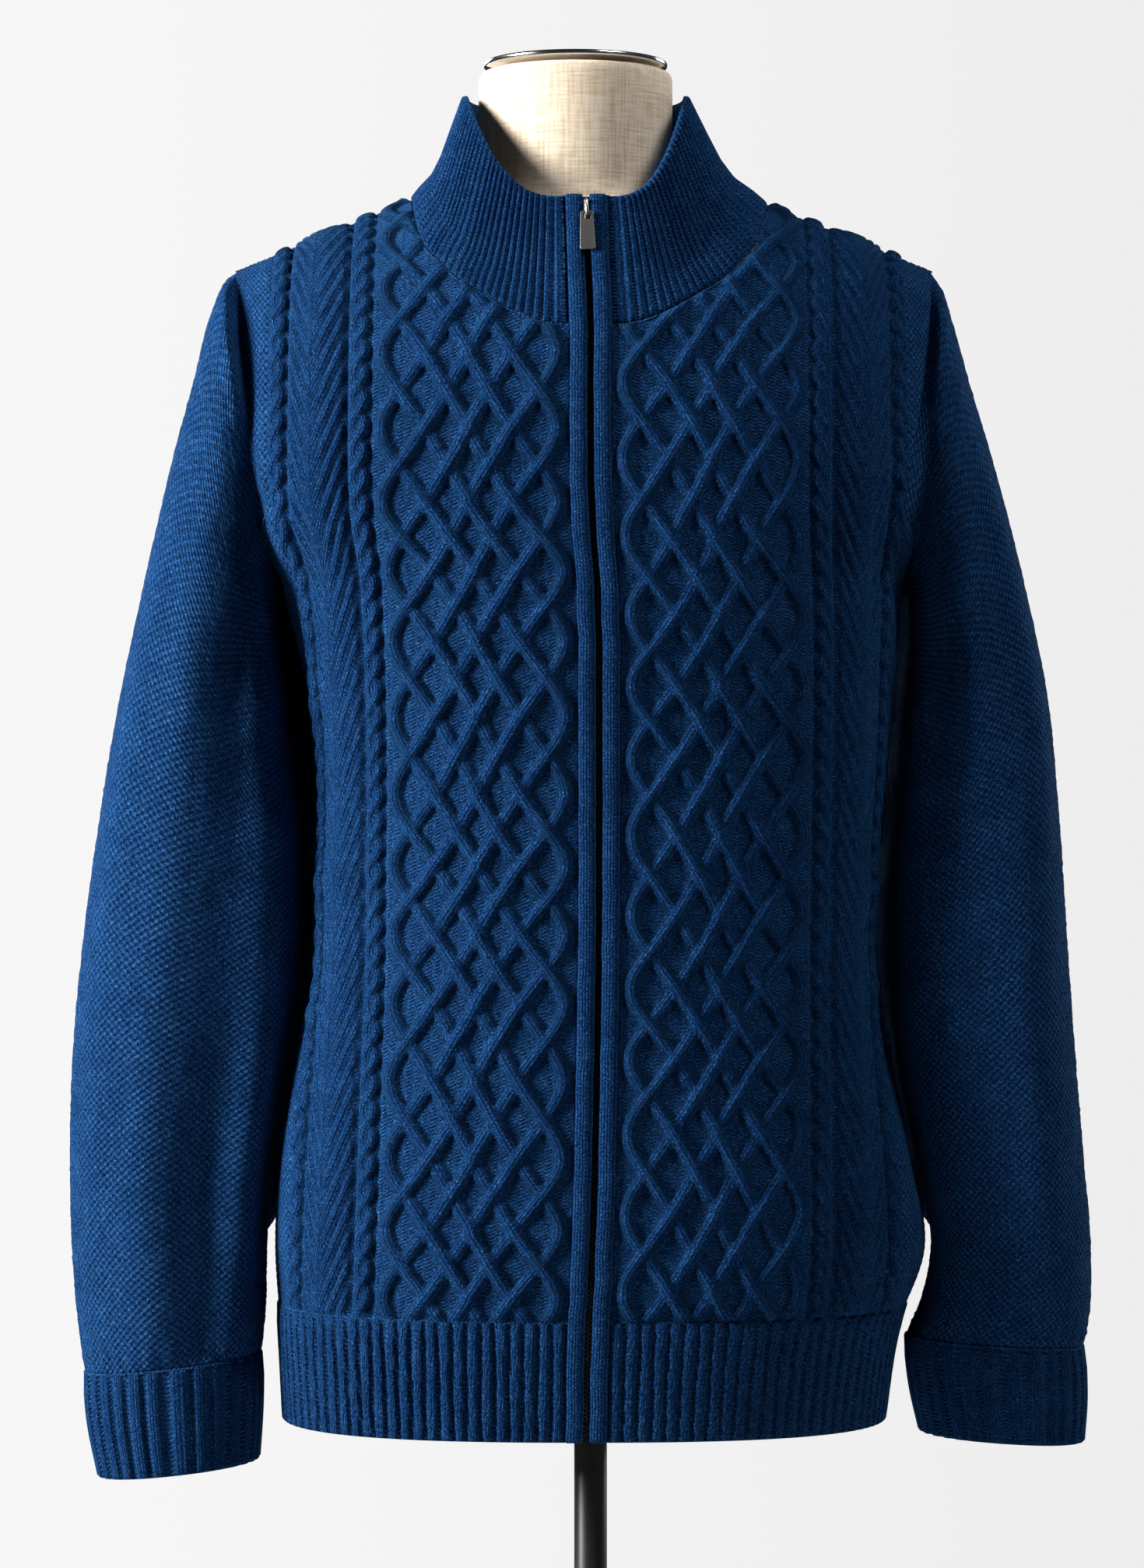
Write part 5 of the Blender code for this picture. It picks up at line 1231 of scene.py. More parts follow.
def sleeve_tube(side):
    """A sleeve's points, faces and stitches: the knitted face, a plainer inside, and a rim at both ends."""
    turns = np.arange(SLEEVE_AROUND) / SLEEVE_AROUND
    table = SLEEVE_RINGS[side]
    rings = [armhole_ring(side, turns, 0.0)]
    for n, row in enumerate(table):
        rings.append(sleeve_ring(row, side, turns, sleeve_swell(turns, n / (len(table) - 1))))
    rings = np.array(rings)
    places = run_of(np.linalg.norm(np.diff(rings, axis=0), axis=2).mean(axis=1))
    at = np.linspace(0, places[-1], SLEEVE_ALONG)
    face = tucked_in(through_rings(rings, places, at), turns, side)
    outs = ring_normals(face)
    outs[0] = outs[1]
    k_round, k_down = np.meshgrid(np.arange(SLEEVE_AROUND), np.arange(SLEEVE_ALONG))
    shares = at / places[-1]
    rng = np.random.default_rng(30 + side)
    in_turn = np.where((k_round + k_down) % 2 == 0, 1.0, -1.0)
    rise = SLEEVE_STITCH_RISE * in_turn * rng.uniform(0.1, 1.5, k_round.shape)
    rise = rise + rng.normal(0, 0.00012, k_round.shape)
    near_top = np.clip(np.arange(SLEEVE_ALONG) / 5.0, 0, 1)[:, None]
    near_cuff = np.clip((SLEEVE_ALONG - 1 - np.arange(SLEEVE_ALONG)) / 4.0, 0, 1)[:, None]
    gather = GATHER_RISE * np.cos(turns * 2 * math.pi * GATHERS)[None, :]
    gather = gather * np.exp(-(((shares - 1) / 0.02) ** 2))[:, None]
    fold = sleeve_fold(side, turns, shares, places[-1])
    bare = face + outs * (fold * near_top * near_cuff)[:, :, None]
    outs = ring_normals(bare)
    outs[0] = outs[1]
    face = bare + outs * (rise * near_top * near_cuff + gather * near_cuff)[:, :, None]
    keep = np.linspace(0, SLEEVE_ALONG - 1, SLEEVE_INSIDE).round().astype(int)
    inside = (bare - outs * (WALL - 0.0002))[keep][:, ::2]
    count, half = SLEEVE_AROUND, SLEEVE_AROUND // 2
    outer = np.arange(SLEEVE_ALONG * count).reshape(SLEEVE_ALONG, count)
    inner = SLEEVE_ALONG * count + np.arange(len(keep) * half).reshape(len(keep), half)
    faces = quads_between(outer, True) + quads_between(inner, False)
    for outer_edge, inner_edge, flip in ((outer[0], inner[0], False), (outer[-1], inner[-1], True)):
        upper = [(k / count, int(p)) for k, p in enumerate(outer_edge)]
        strip = stitched(upper, [(k / half, int(p)) for k, p in enumerate(inner_edge)], True)
        faces += [f[::-1] for f in strip] if flip else strip
    stitches = np.stack([k_round + 0.0, k_down + 0.0, np.zeros(k_round.shape)], axis=-1).reshape(-1, 3)
    lining = np.stack(np.meshgrid(np.arange(half) * 2.0, keep * 1.0), axis=-1).reshape(-1, 2)
    stitches = np.concatenate([stitches, np.column_stack([lining, np.full(len(lining), 0.5)])])
    return np.concatenate([face.reshape(-1, 3), inside.reshape(-1, 3)]), faces, stitches


for side, name, node in ((1, "moss_sleeve_left", "sleeve_left"), (-1, "moss_sleeve_right", "sleeve_right")):
    sleeve = cloth_object(name, *sleeve_tube(side))
    turn_out(sleeve)
    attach(sleeve, "cardigan_on_form")
    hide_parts(node)

# ---------------------------------------------------------------------------------------------------------
# The cuffs: two-by-two rib knitted on below the sleeves, drawing them in at the wrist.
CUFF_RINGS = {
    -1: np.array((
        (0.2972, 0.7700, 0.1932, 0.7810, -0.006, 0.044), (0.2945, 0.7400, 0.1935, 0.7500, -0.006, 0.042),
        (0.2880, 0.7080, 0.1955, 0.7180, -0.006, 0.040),
    )),
    1: np.array((
        (0.2975, 0.7855, 0.1925, 0.7915, -0.006, 0.044), (0.2985, 0.7560, 0.1960, 0.7620, -0.006, 0.042),
        (0.2968, 0.7290, 0.2020, 0.7350, -0.006, 0.040),
    )),
}
CUFF_RIBS, CUFF_RISE, CUFF_ALONG = 28, 0.0023, 30
CUFF_PLACES, CUFF_INSIDE = np.array([0.0, 0.0305, 0.0625]), WALL - 0.0003
CUFF_EDGE = ((0.0011, 0.55, 0.0), (0.0016, 0.0, 0.0008), (0.0010, 0.0, CUFF_INSIDE))  # on down, rib's share, inwards

for side, name, node in ((1, "ribbed_cuff_left", "cuff_left"), (-1, "ribbed_cuff_right", "cuff_right")):
    turns = np.arange(CUFF_RIBS * 12) / (CUFF_RIBS * 12)
    rings = np.array([sleeve_ring(row, side, turns) for row in CUFF_RINGS[side]])
    face = through_rings(rings, CUFF_PLACES, np.linspace(0, CUFF_PLACES[-1] - 0.0016, CUFF_ALONG))
    outs = ring_normals(face)
    rng = np.random.default_rng(40 + side)
    drift = rng.normal(0, 0.08, 29)
    phase = turns * CUFF_RIBS + np.interp(turns, np.linspace(0, 1, 30), np.append(drift, drift[0]))
    rib = (rib_height(phase) * CUFF_RISE)[:, None]
    full = 0.55 + 0.45 * np.clip(np.arange(CUFF_ALONG) / 6.0, 0, 1)
    rows = [face[n] + outs[n] * (rib * full[n]) for n in range(CUFF_ALONG)]
    last, down = face[-1], (face[-1] - face[-2]) / np.linalg.norm(face[-1] - face[-2], axis=1, keepdims=True)
    rows += [last + down * on + outs[-1] * (rib * share) - outs[-1] * inwards for on, share, inwards in CUFF_EDGE]
    rows += [face[n] - outs[n] * CUFF_INSIDE for n in [*range(CUFF_ALONG - 1, 0, -4), 0]]
    rows = np.array(rows)
    stitches = np.array([rib_stitches(phase, np.full_like(turns, n * 0.0021)) for n in range(len(rows))])
    cuff = strip_mesh(name, rows, stitches, True)
    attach(cuff, "cardigan_on_form")
    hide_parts(node)

# ---------------------------------------------------------------------------------------------------------
# The stand collar: a band of fine one-by-one rib knitted up from the neckline, turned in along its top.
# It stands up at the back and sides and opens a little outwards at the front, on both sides of the zip.
COLLAR_TOP_FRONT, COLLAR_TOP_SIDE, COLLAR_TOP_BACK = (0.0, -0.088, 1.461), (0.066, -0.004, 1.531), (0.0, 0.066, 1.534)
COLLAR_FLARE = np.array(((0.0, 0.0), (0.13, 0.20), (0.25, 0.43), (0.42, 0.60), (0.62, 0.74), (1.0, 1.0)))
COLLAR_FRONT_SHARE, COLLAR_END, ZIP_TOP_X = 0.60, PANEL_EDGE + 0.0010, 0.001
COLLAR_RIBS, COLLAR_RISE, COLLAR_HIGH, COLLAR_STITCH, COLLAR_FOOT_LIFT = 98, 0.0017, 0.085, 0.0024, 0.0006
COLLAR_FACE_ROWS, COLLAR_INSIDE_ROWS, COLLAR_TURN, COLLAR_EASINGS = 42, 14, 0.975, 60


def collar_foot(turn):
    """The neckline round from the band at +X (turn 0) by the back to the other band (turn 1)."""
    side = 1 if turn < 0.5 else -1
    t = min(turn, 1 - turn) * 2
    if t < COLLAR_FRONT_SHARE:
        angle = t / COLLAR_FRONT_SHARE * math.pi / 2
        place = COLLAR_END + (NECK_POINT_X - COLLAR_END) * math.sin(angle) ** 0.85
        s = s_where_x(side * place + ZIP_X_AT_YOKE, YOKE_Z)
        return cloth_at(s, v_at_height(s, smooth_at(NECKLINE[:, 0], NECKLINE[:, 1], place)))
    angle = (1 - t) / (1 - COLLAR_FRONT_SHARE) * math.pi / 2
    x = side * NECK_POINT_X * math.sin(angle)
    r = back_where_x(x + ZIP_X_AT_YOKE, YOKE_Z)
    return behind_at(r, behind_v(r, back_neck_z(x)))


def collar_top(turn):
    """The collar's top edge at the same place round, and how far it flares there."""
    side = 1 if turn < 0.5 else -1
    t = min(turn, 1 - turn) * 2
    front, flank, rear = (np.array(p) for p in (COLLAR_TOP_FRONT, COLLAR_TOP_SIDE, COLLAR_TOP_BACK))
    if t < COLLAR_FRONT_SHARE:
        angle = t / COLLAR_FRONT_SHARE * math.pi / 2
        top = np.array([
            COLLAR_END + (flank[0] - COLLAR_END) * math.sin(angle) ** 0.8,
            flank[1] + (front[1] - flank[1]) * math.cos(angle) ** 0.9,
            front[2] + (flank[2] - front[2]) * math.sin(angle) ** 2.2,
        ])
        flare = aside = math.sin(angle)
    else:
        angle = (1 - t) / (1 - COLLAR_FRONT_SHARE) * math.pi / 2
        top = np.array([
            flank[0] * math.sin(angle) ** 0.8,
            flank[1] + (rear[1] - flank[1]) * math.cos(angle) ** 0.9,
            rear[2] + (flank[2] - rear[2]) * math.sin(angle),
        ])
        flare, aside = max(math.sin(angle), 0.3), 1.0
    top[0] = side * top[0] + ZIP_TOP_X + (FORM_NECK_X - ZIP_TOP_X) * aside
    return top, flare


def level_inward(points):
    """The level direction from collar points to the neck's axis."""
    to_axis = np.stack([FORM_NECK_X - points[:, 0], -points[:, 1] * 0.8, np.zeros(len(points))], axis=1)
    return to_axis / np.linalg.norm(to_axis, axis=1, keepdims=True)


places = np.linspace(0, 1, COLLAR_RIBS * 8 + 1)
feet = np.array([collar_foot(t) for t in places])
feet = feet + (0.0, 0.0, COLLAR_FOOT_LIFT) + level_inward(feet) * COLLAR_FOOT_LIFT
tops, flares = (np.array(values) for values in zip(*(collar_top(t) for t in places)))
# the corner at the side of the top edge is eased, as the knit rolls round it
for _ in range(COLLAR_EASINGS):
    tops[1:-1] = (tops[:-2] + 2 * tops[1:-1] + tops[2:]) / 4
rng = np.random.default_rng(7)
wander = np.interp(places, np.linspace(0, 1, 60), rng.normal(0, 0.10, 60))
ribs = np.clip(np.cos((places * COLLAR_RIBS - 0.5 + wander) * 2 * math.pi) * 0.62 + 0.5, 0, 1) ** 0.8
ends = np.clip(np.minimum(places, 1 - places) * COLLAR_RIBS, 0, 1)
# each row: how far up the collar, and 1 on its face, 0 on its edge and -1 on its inside
levels = [(up, 1.0) for up in np.linspace(0, COLLAR_TURN, COLLAR_FACE_ROWS)]
levels += [(0.993, 0.75), (1.0, 0.0), (0.996, -0.62)]
levels += [(up, -1.0) for up in np.linspace(COLLAR_TURN, 0.0, COLLAR_INSIDE_ROWS)]
collar_rows, collar_stitches = [], []
for up, way in levels:
    near = up + (np.interp(up, COLLAR_FLARE[:, 0], COLLAR_FLARE[:, 1]) - up) * flares
    points = feet + (tops - feet) * np.stack([near, near, np.full_like(near, up)], axis=1)
    swell = 0.0007 * math.sin(min(up, 1.0) * math.pi) * np.sin(places * 17.0 + 1.0)
    if way > 0:
        rise = (ribs * COLLAR_RISE * min(1.0, up / 0.03) + swell) * ends * way
    elif way == 0:
        rise = np.full_like(ribs, -0.0006)
    else:
        rise = (WALL - 0.0004) * way + ribs * 0.0005 * (up > 0.4)
    collar_rows.append(points - level_inward(points) * rise[:, None])
    down = (up if way > 0 else 2 - up) * COLLAR_HIGH
    row = [places * COLLAR_RIBS + wander, np.full_like(places, down / COLLAR_STITCH), np.where(ribs > 0.35, 1.0, 0.5)]
    collar_stitches.append(np.stack(row, axis=1))
collar = strip_mesh("ribbed_stand_collar", np.array(collar_rows), np.array(collar_stitches), False)
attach(collar, "cardigan_on_form")
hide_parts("collar")

# ---------------------------------------------------------------------------------------------------------
# The zip runs from the hem to the collar's top, hidden behind two rolled edge bands that meet over it.
# Its woven tape is sewn behind the bands, and its teeth show only as a dark line between them.
BAND_NEAR, BAND_FAR, BAND_RISE, BAND_BAR, BAND_COLUMN = 0.0018, 0.0120, 0.0032, 0.0023, 0.0034
BAND_BAR_RISE, BAND_DRIFT, BAND_END = 0.00017, 0.00022, 0.003
TOOTH_PITCH, TOOTH_SIZE, TOOTH_OFF, TOOTH_DEEP, TOOTH_STEP = 0.0026, (0.0016, 0.0008, 0.0012), 0.0006, 0.0028, 0.004
CHAIN_TOP_FREE = 0.018  # no teeth behind the slider

# the zip's line up the body and then straight up the collar, with the outward direction at each place
line_of_zip = []
for v in spaced(HEM_Z, v_at_height(0.0, NECKLINE[0][1]), 0.030):
    line_of_zip.append((cloth_at(0.0, v), outward_at(cloth_at, 0.0, v)))
zip_foot = line_of_zip[-1][0]
zip_top = np.array([ZIP_TOP_X, COLLAR_TOP_FRONT[1], COLLAR_TOP_FRONT[2] + 0.001])
zip_lean = (zip_top - zip_foot) / np.linalg.norm(zip_top - zip_foot)
zip_out = np.array([0.0, -zip_lean[2], zip_lean[1]])
mid_out = line_of_zip[-1][1] + zip_out
line_of_zip[-1] = (zip_foot, mid_out / np.linalg.norm(mid_out))
line_of_zip += [(zip_foot + (zip_top - zip_foot) * share, zip_out) for share in (0.35, 0.68, 1.0)]
zip_places, zip_outs = (np.array(values) for values in zip(*line_of_zip))
zip_run = run_of(np.linalg.norm(np.diff(zip_places, axis=0), axis=1))


def on_zip(at):
    """Middles and outward directions at lengths up the zip."""
    places = np.stack([np.interp(at, zip_run, zip_places[:, k]) for k in range(3)], axis=1)
    outs = np.stack([np.interp(at, zip_run, zip_outs[:, k]) for k in range(3)], axis=1)
    return places, outs / np.linalg.norm(outs, axis=1, keepdims=True)


def band_section(half):
    """Round a rolled band: across, out, and how much of the knit's bars shows; a flange lies behind the panel."""
    angles = np.linspace(0, math.pi, 15)
    under = (
        (half, -0.0009), (half + 0.0024, -0.0013), (half + 0.0024, -0.0021), (half * 0.9, -0.0025), (-half * 0.94, -0.0025),
    )
    roll = [(-half * math.cos(a), BAND_RISE * math.sin(a) ** 0.7, math.sin(a)) for a in angles]
    return roll + [(x, rise, 0.0) for x, rise in under]


for side, name, node in ((1, "rolled_band_left", "edge_band_left"), (-1, "rolled_band_right", "edge_band_right")):
    at = np.arange(0.0, zip_run[-1] + 0.0003, BAND_BAR / 3)
    at[-1] = zip_run[-1]
    middles, outs = on_zip(at)
    half, centre = (BAND_FAR - BAND_NEAR) / 2, (BAND_NEAR + BAND_FAR) / 2
    rng = np.random.default_rng(60 + side)
    drift = np.interp(at, np.linspace(0, zip_run[-1], 70), rng.normal(0, BAND_DRIFT, 70))
    bars = np.cos(at / BAND_BAR * 2 * math.pi)
    end = np.clip(np.minimum(at, zip_run[-1] - at) / BAND_END, 0, 1) ** 0.5
    outline = band_section(half)
    rings = []
    for x, rise, top in outline:
        height = (rise + BAND_BAR_RISE * bars * top) * (0.35 + 0.65 * end if rise > 0 else 1.0)
        place = side * (centre + x * (0.9 + 0.1 * end)) + drift * (abs(x) < half * 0.99)
        rings.append(middles + np.array([1.0, 0.0, 0.0]) * place[:, None] + outs * height[:, None])
    rings = np.stack(rings, axis=1)
    stitches = np.ones(rings.shape)
    stitches[:, :, 0] = np.array([x for x, _, _ in outline])[None, :] / BAND_COLUMN
    stitches[:, :, 1] = (at / BAND_BAR)[:, None]
    index = np.arange(rings.shape[0] * rings.shape[1]).reshape(rings.shape[:2])
    faces = quads_between(index, False) + [index[0, ::-1].tolist(), index[-1].tolist()]
    band = cloth_object(name, rings.reshape(-1, 3), faces, stitches.reshape(-1, 3))
    turn_out(band)
    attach(band, "cardigan_on_form")
    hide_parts(node)

tape, tree, shader = new_material("woven_zip_tape", (0.006, 0.007, 0.010), 0.8, 0.0, 0.2)
x, y, z = object_place(tree)
tape_weave = wave_of(z, 2 * math.pi / 0.0007) * wave_of(x, 2 * math.pi / 0.0007)
bumped(shader, tape_weave, 0.5, 0.0002)
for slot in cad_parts["zip_chain"].material_slots:
    slot.material = tape

teeth_metal, tree, shader = new_material("dark_tooth_metal", (0.05, 0.05, 0.055), 0.35, 1.0)
ramp_to(noise_on(tree, 400.0, 2.0), shader.inputs["Base Color"], ((0.3, (0.035, 0.035, 0.04)), (0.7, (0.08, 0.08, 0.085))))


def pieces_along(name, piece_kind, piece_inputs, sway, smooth):
    """A Geometry Nodes tree that lays small pieces along lines, each turned along them and swayed at random."""
    tree = bpy.data.node_groups.new(name, "GeometryNodeTree")
    wanted = {"Geometry": "Geometry", "Pitch": "Float", "Size": "Vector", "Seed": "Int", "Finish": "Material"}
    for label, kind in wanted.items():
        tree.interface.new_socket(label, in_out="INPUT", socket_type="NodeSocket" + kind)
    tree.interface.new_socket("Geometry", in_out="OUTPUT", socket_type="NodeSocketGeometry")
    given, end = tree.nodes.new("NodeGroupInput").outputs, tree.nodes.new("NodeGroupOutput")
    curve = node_in(tree, "GeometryNodeMeshToCurve", {"Mesh": given["Geometry"]}).outputs["Curve"]
    steps = node_in(tree, "GeometryNodeResampleCurve", {"Curve": curve, "Length": given["Pitch"]}, mode="LENGTH")
    swayed = node_in(tree, "FunctionNodeRandomValue", {"Seed": given["Seed"]}, data_type="FLOAT_VECTOR")
    for socket, most in zip([s for s in swayed.inputs if s.type == "VECTOR"], (-sway, sway)):
        socket.default_value = (most,) * 3
    tangent = node_in(tree, "GeometryNodeInputTangent").outputs["Tangent"]
    sway_out = next(s for s in swayed.outputs if s.type == "VECTOR")
    leaning = node_in(tree, "ShaderNodeVectorMath", {0: tangent, 1: sway_out}).outputs["Vector"]
    turning = node_in(tree, "FunctionNodeAlignRotationToVector", {"Vector": leaning}, axis="Z").outputs["Rotation"]
    piece = node_in(tree, piece_kind, piece_inputs).outputs["Mesh"]
    laid = {"Points": steps.outputs["Curve"], "Instance": piece, "Rotation": turning, "Scale": given["Size"]}
    many = node_in(tree, "GeometryNodeInstanceOnPoints", laid).outputs["Instances"]
    real = node_in(tree, "GeometryNodeRealizeInstances", {"Geometry": many}).outputs["Geometry"]
    shaded = node_in(tree, "GeometryNodeSetShadeSmooth", {"Geometry": real, "Shade Smooth": smooth}).outputs["Geometry"]
    painted = node_in(tree, "GeometryNodeSetMaterial", {"Geometry": shaded, "Material": given["Finish"]})
    wire(tree, painted.outputs["Geometry"], end.inputs["Geometry"])
    return tree


def laid_pieces(name, lines, tree, values):
    """Runs a tree along lines of points, and leaves the result as a plain mesh."""
    points, edges = [], []
    for line in lines:
        edges += [(len(points) + k, len(points) + k + 1) for k in range(len(line) - 1)]
        points += [tuple(p) for p in line]
    path = bpy.data.meshes.new(name)
    path.from_pydata(points, edges, [])
    made = in_scene(name, path)
    step = made.modifiers.new(tree.name, "NODES")
    step.node_group = tree
    sockets = {item.name: item.identifier for item in tree.interface.items_tree if item.in_out == "INPUT"}
    for label, value in values.items():
        step[sockets[label]] = value
    bpy.context.view_layer.update()
    mesh = bpy.data.meshes.new_from_object(made.evaluated_get(bpy.context.evaluated_depsgraph_get()))
    made.modifiers.clear()
    made.data = mesh
    mesh.name = made.name
    return made


tooth_lines = []
for side in (1, -1):
    first = TOOTH_STEP + (TOOTH_PITCH / 2 if side > 0 else 0.0)
    middles, outs = on_zip(np.arange(first, zip_run[-1] - CHAIN_TOP_FREE, TOOTH_STEP))
    tooth_lines.append(middles + np.array([side * TOOTH_OFF, 0.0, 0.0]) - outs * TOOTH_DEEP)
row_of_teeth = pieces_along("row_of_teeth", "GeometryNodeMeshCube", {}, 0.0, False)
teeth = laid_pieces("zip_teeth", tooth_lines, row_of_teeth, {"Pitch": TOOTH_PITCH, "Size": TOOTH_SIZE, "Finish": teeth_metal})
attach(teeth, "cardigan_on_form")

# ---------------------------------------------------------------------------------------------------------
# The slider and its pull: a die-cast slider body with a wire bail, and a flat slotted tab that swings in it.
# Both are plated in satin gunmetal, worn a little brighter along their edges.
TAB_AXIS_DROP, TAB_OUT, SLIDER_FACE = 0.0130, 0.0045, 0.0029
SLIDER_SIZE, SLIDER_EASE = (0.0026, 0.0056, 0.0125), 0.0006
BAIL_WIRE, BAIL_SPAN, BAIL_TOP, BAIL_LOW, BAIL_CORNER = 0.0007, 0.0098, 0.0064, -0.0020, 0.0016
TAB_THICK, TAB_LENGTH, TAB_TOP_WIDTH, TAB_FOOT_WIDTH = 0.0014, 0.0240, 0.0074, 0.0092
TAB_EASE, TAB_CORNER, SLOT_CORNER = 0.00028, 0.0016, 0.0008
SLOT_WIDTH, SLOT_LENGTH, SLOT_BAR = 0.0040, 0.0040, 0.0014
WORN_STOPS = ((0.47, (0.085, 0.084, 0.082)), (0.52, (0.125, 0.123, 0.120)), (0.60, (0.40, 0.39, 0.38)))

gunmetal, tree, shader = new_material("satin_gunmetal", (0.15, 0.148, 0.145), 0.45, 0.8)
brushed = noise_on(tree, 1.0, 3.0, 0.6, (2500.0, 2500.0, 180.0))
edge_wear = Value(tree, node_in(tree, "ShaderNodeNewGeometry").outputs["Pointiness"])
ramp_to(edge_wear, shader.inputs["Base Color"], WORN_STOPS)
ramp_to(brushed, shader.inputs["Roughness"], ((0.3, 0.36), (0.7, 0.56)))
bumped(shader, brushed, 0.25, 0.0001)

silver, tree, shader = new_material("bright_bail_metal", (0.55, 0.54, 0.52), 0.22, 1.0)
ramp_to(noise_on(tree, 600.0, 2.0), shader.inputs["Base Color"], ((0.3, (0.42, 0.41, 0.40)), (0.7, (0.64, 0.63, 0.61))))

below, above = Vector(line_of_zip[-2][0]), Vector(line_of_zip[-1][0])
up = (above - below).normalized()
into = -Vector(line_of_zip[-1][1])
axis_place = above - up * TAB_AXIS_DROP - into * TAB_OUT
across = into.cross(up).normalized()
pull_frame = Matrix.Translation(axis_place) @ Matrix((across, up.cross(across), up)).transposed().to_4x4()

body_shape = bmesh.new()
bmesh.ops.create_cube(body_shape, size=1.0)
bmesh.ops.scale(body_shape, vec=SLIDER_SIZE, verts=body_shape.verts)
bmesh.ops.bevel(body_shape, geom=body_shape.edges[:], offset=SLIDER_EASE, segments=3, profile=0.6, affect="EDGES")
slider_place = (0, TAB_OUT - SLIDER_FACE + SLIDER_SIZE[1] / 2, BAIL_SPAN / 2 - 0.0022)
bmesh.ops.translate(body_shape, vec=slider_place, verts=body_shape.verts)
slider_mesh = bpy.data.meshes.new("zip_slider_body")
body_shape.to_mesh(slider_mesh)
body_shape.free()


def curve_mesh(name, curve, loops, cyclic):
    """The mesh of a curve along poly lines of points."""
    for loop in loops:
        spline = curve.splines.new("POLY")
        spline.points.add(len(loop) - 1)
        spline.use_cyclic_u = cyclic
        for point, place in zip(spline.points, loop):
            point.co = (*place, 1.0)
    drawn = in_scene(name, curve)
    mesh = bpy.data.meshes.new_from_object(drawn.evaluated_get(bpy.context.evaluated_depsgraph_get()))
    bpy.data.objects.remove(drawn)
    return mesh


def placed_piece(name, mesh, matrix, material):
    """A mesh moved to its place in the frame, its doubles merged and its faces outwards."""
    mesh.name = name
    shape = bmesh.new()
    shape.from_mesh(mesh)
    bmesh.ops.remove_doubles(shape, verts=shape.verts, dist=0.000001)
    bmesh.ops.recalc_face_normals(shape, faces=shape.faces)
    shape.to_mesh(mesh)
    shape.free()
    mesh.transform(matrix)
    mesh.materials.clear()
    mesh.materials.append(material)
    mesh.shade_smooth()
    mesh.set_sharp_from_angle(angle=math.radians(50))
    return in_scene(name, mesh)


bail_curve = bpy.data.curves.new("bail_wire", "CURVE")
bail_curve.dimensions = "3D"
bail_curve.bevel_depth, bail_curve.bevel_resolution, bail_curve.use_fill_caps = BAIL_WIRE, 4, True
low, high = BAIL_LOW, BAIL_LOW + BAIL_SPAN
face_y, turn_y = TAB_OUT - SLIDER_FACE + 0.0006, TAB_OUT - BAIL_TOP + BAIL_CORNER
foot_turn, head_turn = low + BAIL_CORNER, high - BAIL_CORNER
bail_path = [(face_y, low), (turn_y, low)]
for a in np.linspace(0.3, math.pi / 2, 5):
    bail_path.append((turn_y - BAIL_CORNER * math.sin(a), foot_turn - BAIL_CORNER * math.cos(a)))
for a in np.linspace(0, math.pi / 2 - 0.3, 5):
    bail_path.append((turn_y - BAIL_CORNER * math.cos(a), head_turn + BAIL_CORNER * math.sin(a)))
bail_path += [(turn_y, high), (face_y, high)]
bail_mesh = curve_mesh("bail_wire", bail_curve, [[(0.0, *place) for place in bail_path]], False)


slider_body = placed_piece("zip_slider_body", slider_mesh, pull_frame, gunmetal)
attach(slider_body, "cardigan_on_form")
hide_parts("zip_slider")
bail = placed_piece("zip_slider_bail", bail_mesh, pull_frame, silver)
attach(bail, "cardigan_on_form")

def rounded(corners, radius, steps=5):
    """A closed outline with its corners rounded."""
    points = []
    for k, (x, y) in enumerate(corners):
        here, before, after = Vector((x, y)), Vector(corners[k - 1]), Vector(corners[(k + 1) % len(corners)])
        a, b = here + (before - here).normalized() * radius, here + (after - here).normalized() * radius
        for t in np.linspace(0, 1, steps).tolist():
            points.append((*(a * (1 - t) ** 2 + here * (2 * t * (1 - t)) + b * t**2), 0.0))
    return points


tab_curve = bpy.data.curves.new("pull_tab", "CURVE")
tab_curve.dimensions, tab_curve.fill_mode = "2D", "BOTH"
tab_curve.bevel_depth, tab_curve.bevel_resolution, tab_curve.offset = TAB_EASE, 3, -TAB_EASE
tab_curve.extrude = TAB_THICK / 2 - TAB_EASE
top, foot_z = SLOT_BAR / 2, SLOT_BAR / 2 - TAB_LENGTH
wide, slim = TAB_FOOT_WIDTH / 2, TAB_TOP_WIDTH / 2
outline = rounded([(slim, top), (-slim, top), (-wide, foot_z), (wide, foot_z)], TAB_CORNER)
half, slot_top, slot_foot = SLOT_WIDTH / 2, -SLOT_BAR / 2, -SLOT_BAR / 2 - SLOT_LENGTH
hole = rounded([(half, slot_top), (half, slot_foot), (-half, slot_foot), (-half, slot_top)], SLOT_CORNER)
tab_mesh = curve_mesh("pull_tab_shape", tab_curve, (outline, hole), True)
tab = placed_piece("slotted_pull_tab", tab_mesh, pull_frame @ Matrix.Rotation(math.pi / 2, 4, "X"), gunmetal)
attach(tab, "zip_pull")
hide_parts("pull_tab")

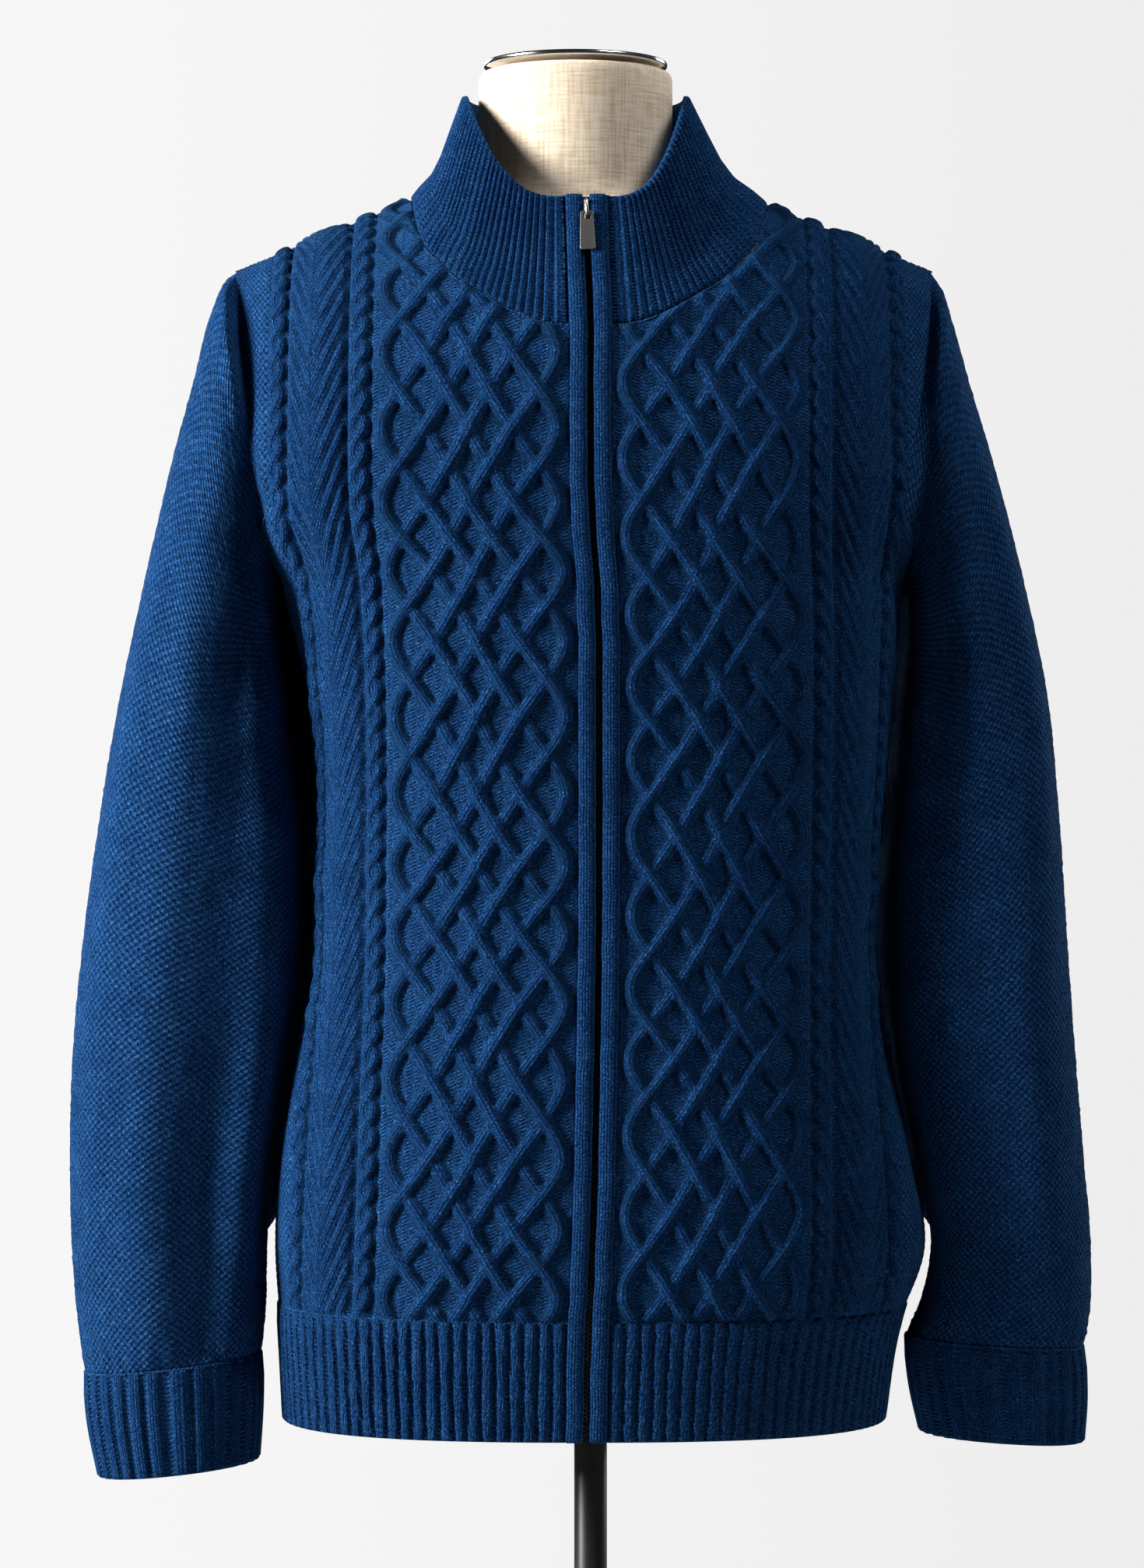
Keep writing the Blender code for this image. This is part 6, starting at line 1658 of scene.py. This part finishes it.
# ---------------------------------------------------------------------------------------------------------
# The seams: where two knitted pieces meet they are linked stitch by stitch in the same wool, down in the
# trough between them, at the armholes, the shoulders, the sides, the neckline, the hem and the cuffs.
SEAM_STITCH_PITCH, SEAM_STITCH_SIZE, SEAM_SEED, SEAM_SWAY = 0.0025, (0.0017, 0.0017, 0.0036), 5, 0.35
SEAM_STITCH_SHAPE = {"Segments": 6, "Rings": 4, "Radius": 0.5}
SEAM_DEPTH, SHOULDER_SEAM_RISE, CUFF_SEAM_RISE, NECK_SEAM_DROP = -0.0003, 0.0001, 0.0003, 0.0006
SEAM_STEP, HEM_SEAM_Z = 0.006, RIB_TOP_Z + SEAM / 2


def laid(surface, line, rise=SEAM_DEPTH):
    """A seam's line on the cloth, sunk in the trough between two pieces."""
    return [surface(s, v) + outward_at(surface, s, v) * rise for s, v in line]


seam_lines = []
for side in (1, -1):
    seam_lines.append(laid(cloth_at, front_armhole(side, 40)[:-1]) + laid(behind_at, back_armhole(-side, 40)[::-1]))
    neck, arm = front_neckline(side), front_armhole(side)
    shoulder = [(s, shoulder_v(s)) for s in spaced(neck[-1][0], arm[0][0], SEAM_STEP)]
    seam_lines.append(laid(cloth_at, shoulder, SHOULDER_SEAM_RISE))
    side_heights = spaced(HEM_Z + 0.002, UNDERARM_Z, 0.010)
    seam_lines.append(laid(cloth_at, [(side * side_at(z, side), z) for z in side_heights]))
    cuff_row = (SLEEVE_RINGS[side][-1] + CUFF_RINGS[side][0]) / 2
    seam_lines.append(list(sleeve_ring(cuff_row, side, np.linspace(0, 1, 100), CUFF_SEAM_RISE)))
    hem_places = spaced(PANEL_EDGE, side_at(RIB_TOP_Z, side), SEAM_STEP)
    seam_lines.append(laid(cloth_at, [(side * s, HEM_SEAM_Z) for s in hem_places]))
back_places = spaced(-back_side(RIB_TOP_Z, -1), back_side(RIB_TOP_Z, 1), SEAM_STEP)
seam_lines.append(laid(behind_at, [(r, HEM_SEAM_Z) for r in back_places]))
neck_ring = np.array([collar_foot(t) for t in np.linspace(0.004, 0.996, 220)])
seam_lines.append(list(neck_ring - np.array([0.0, 0.0, NECK_SEAM_DROP])))
linked_seam = pieces_along("linked_seam", "GeometryNodeMeshUVSphere", SEAM_STITCH_SHAPE, SEAM_SWAY, True)
seams = laid_pieces("linked_seams", seam_lines, linked_seam, {
    "Pitch": SEAM_STITCH_PITCH, "Size": SEAM_STITCH_SIZE, "Seed": SEAM_SEED, "Finish": wool,
})
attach(seams, "cardigan_on_form")
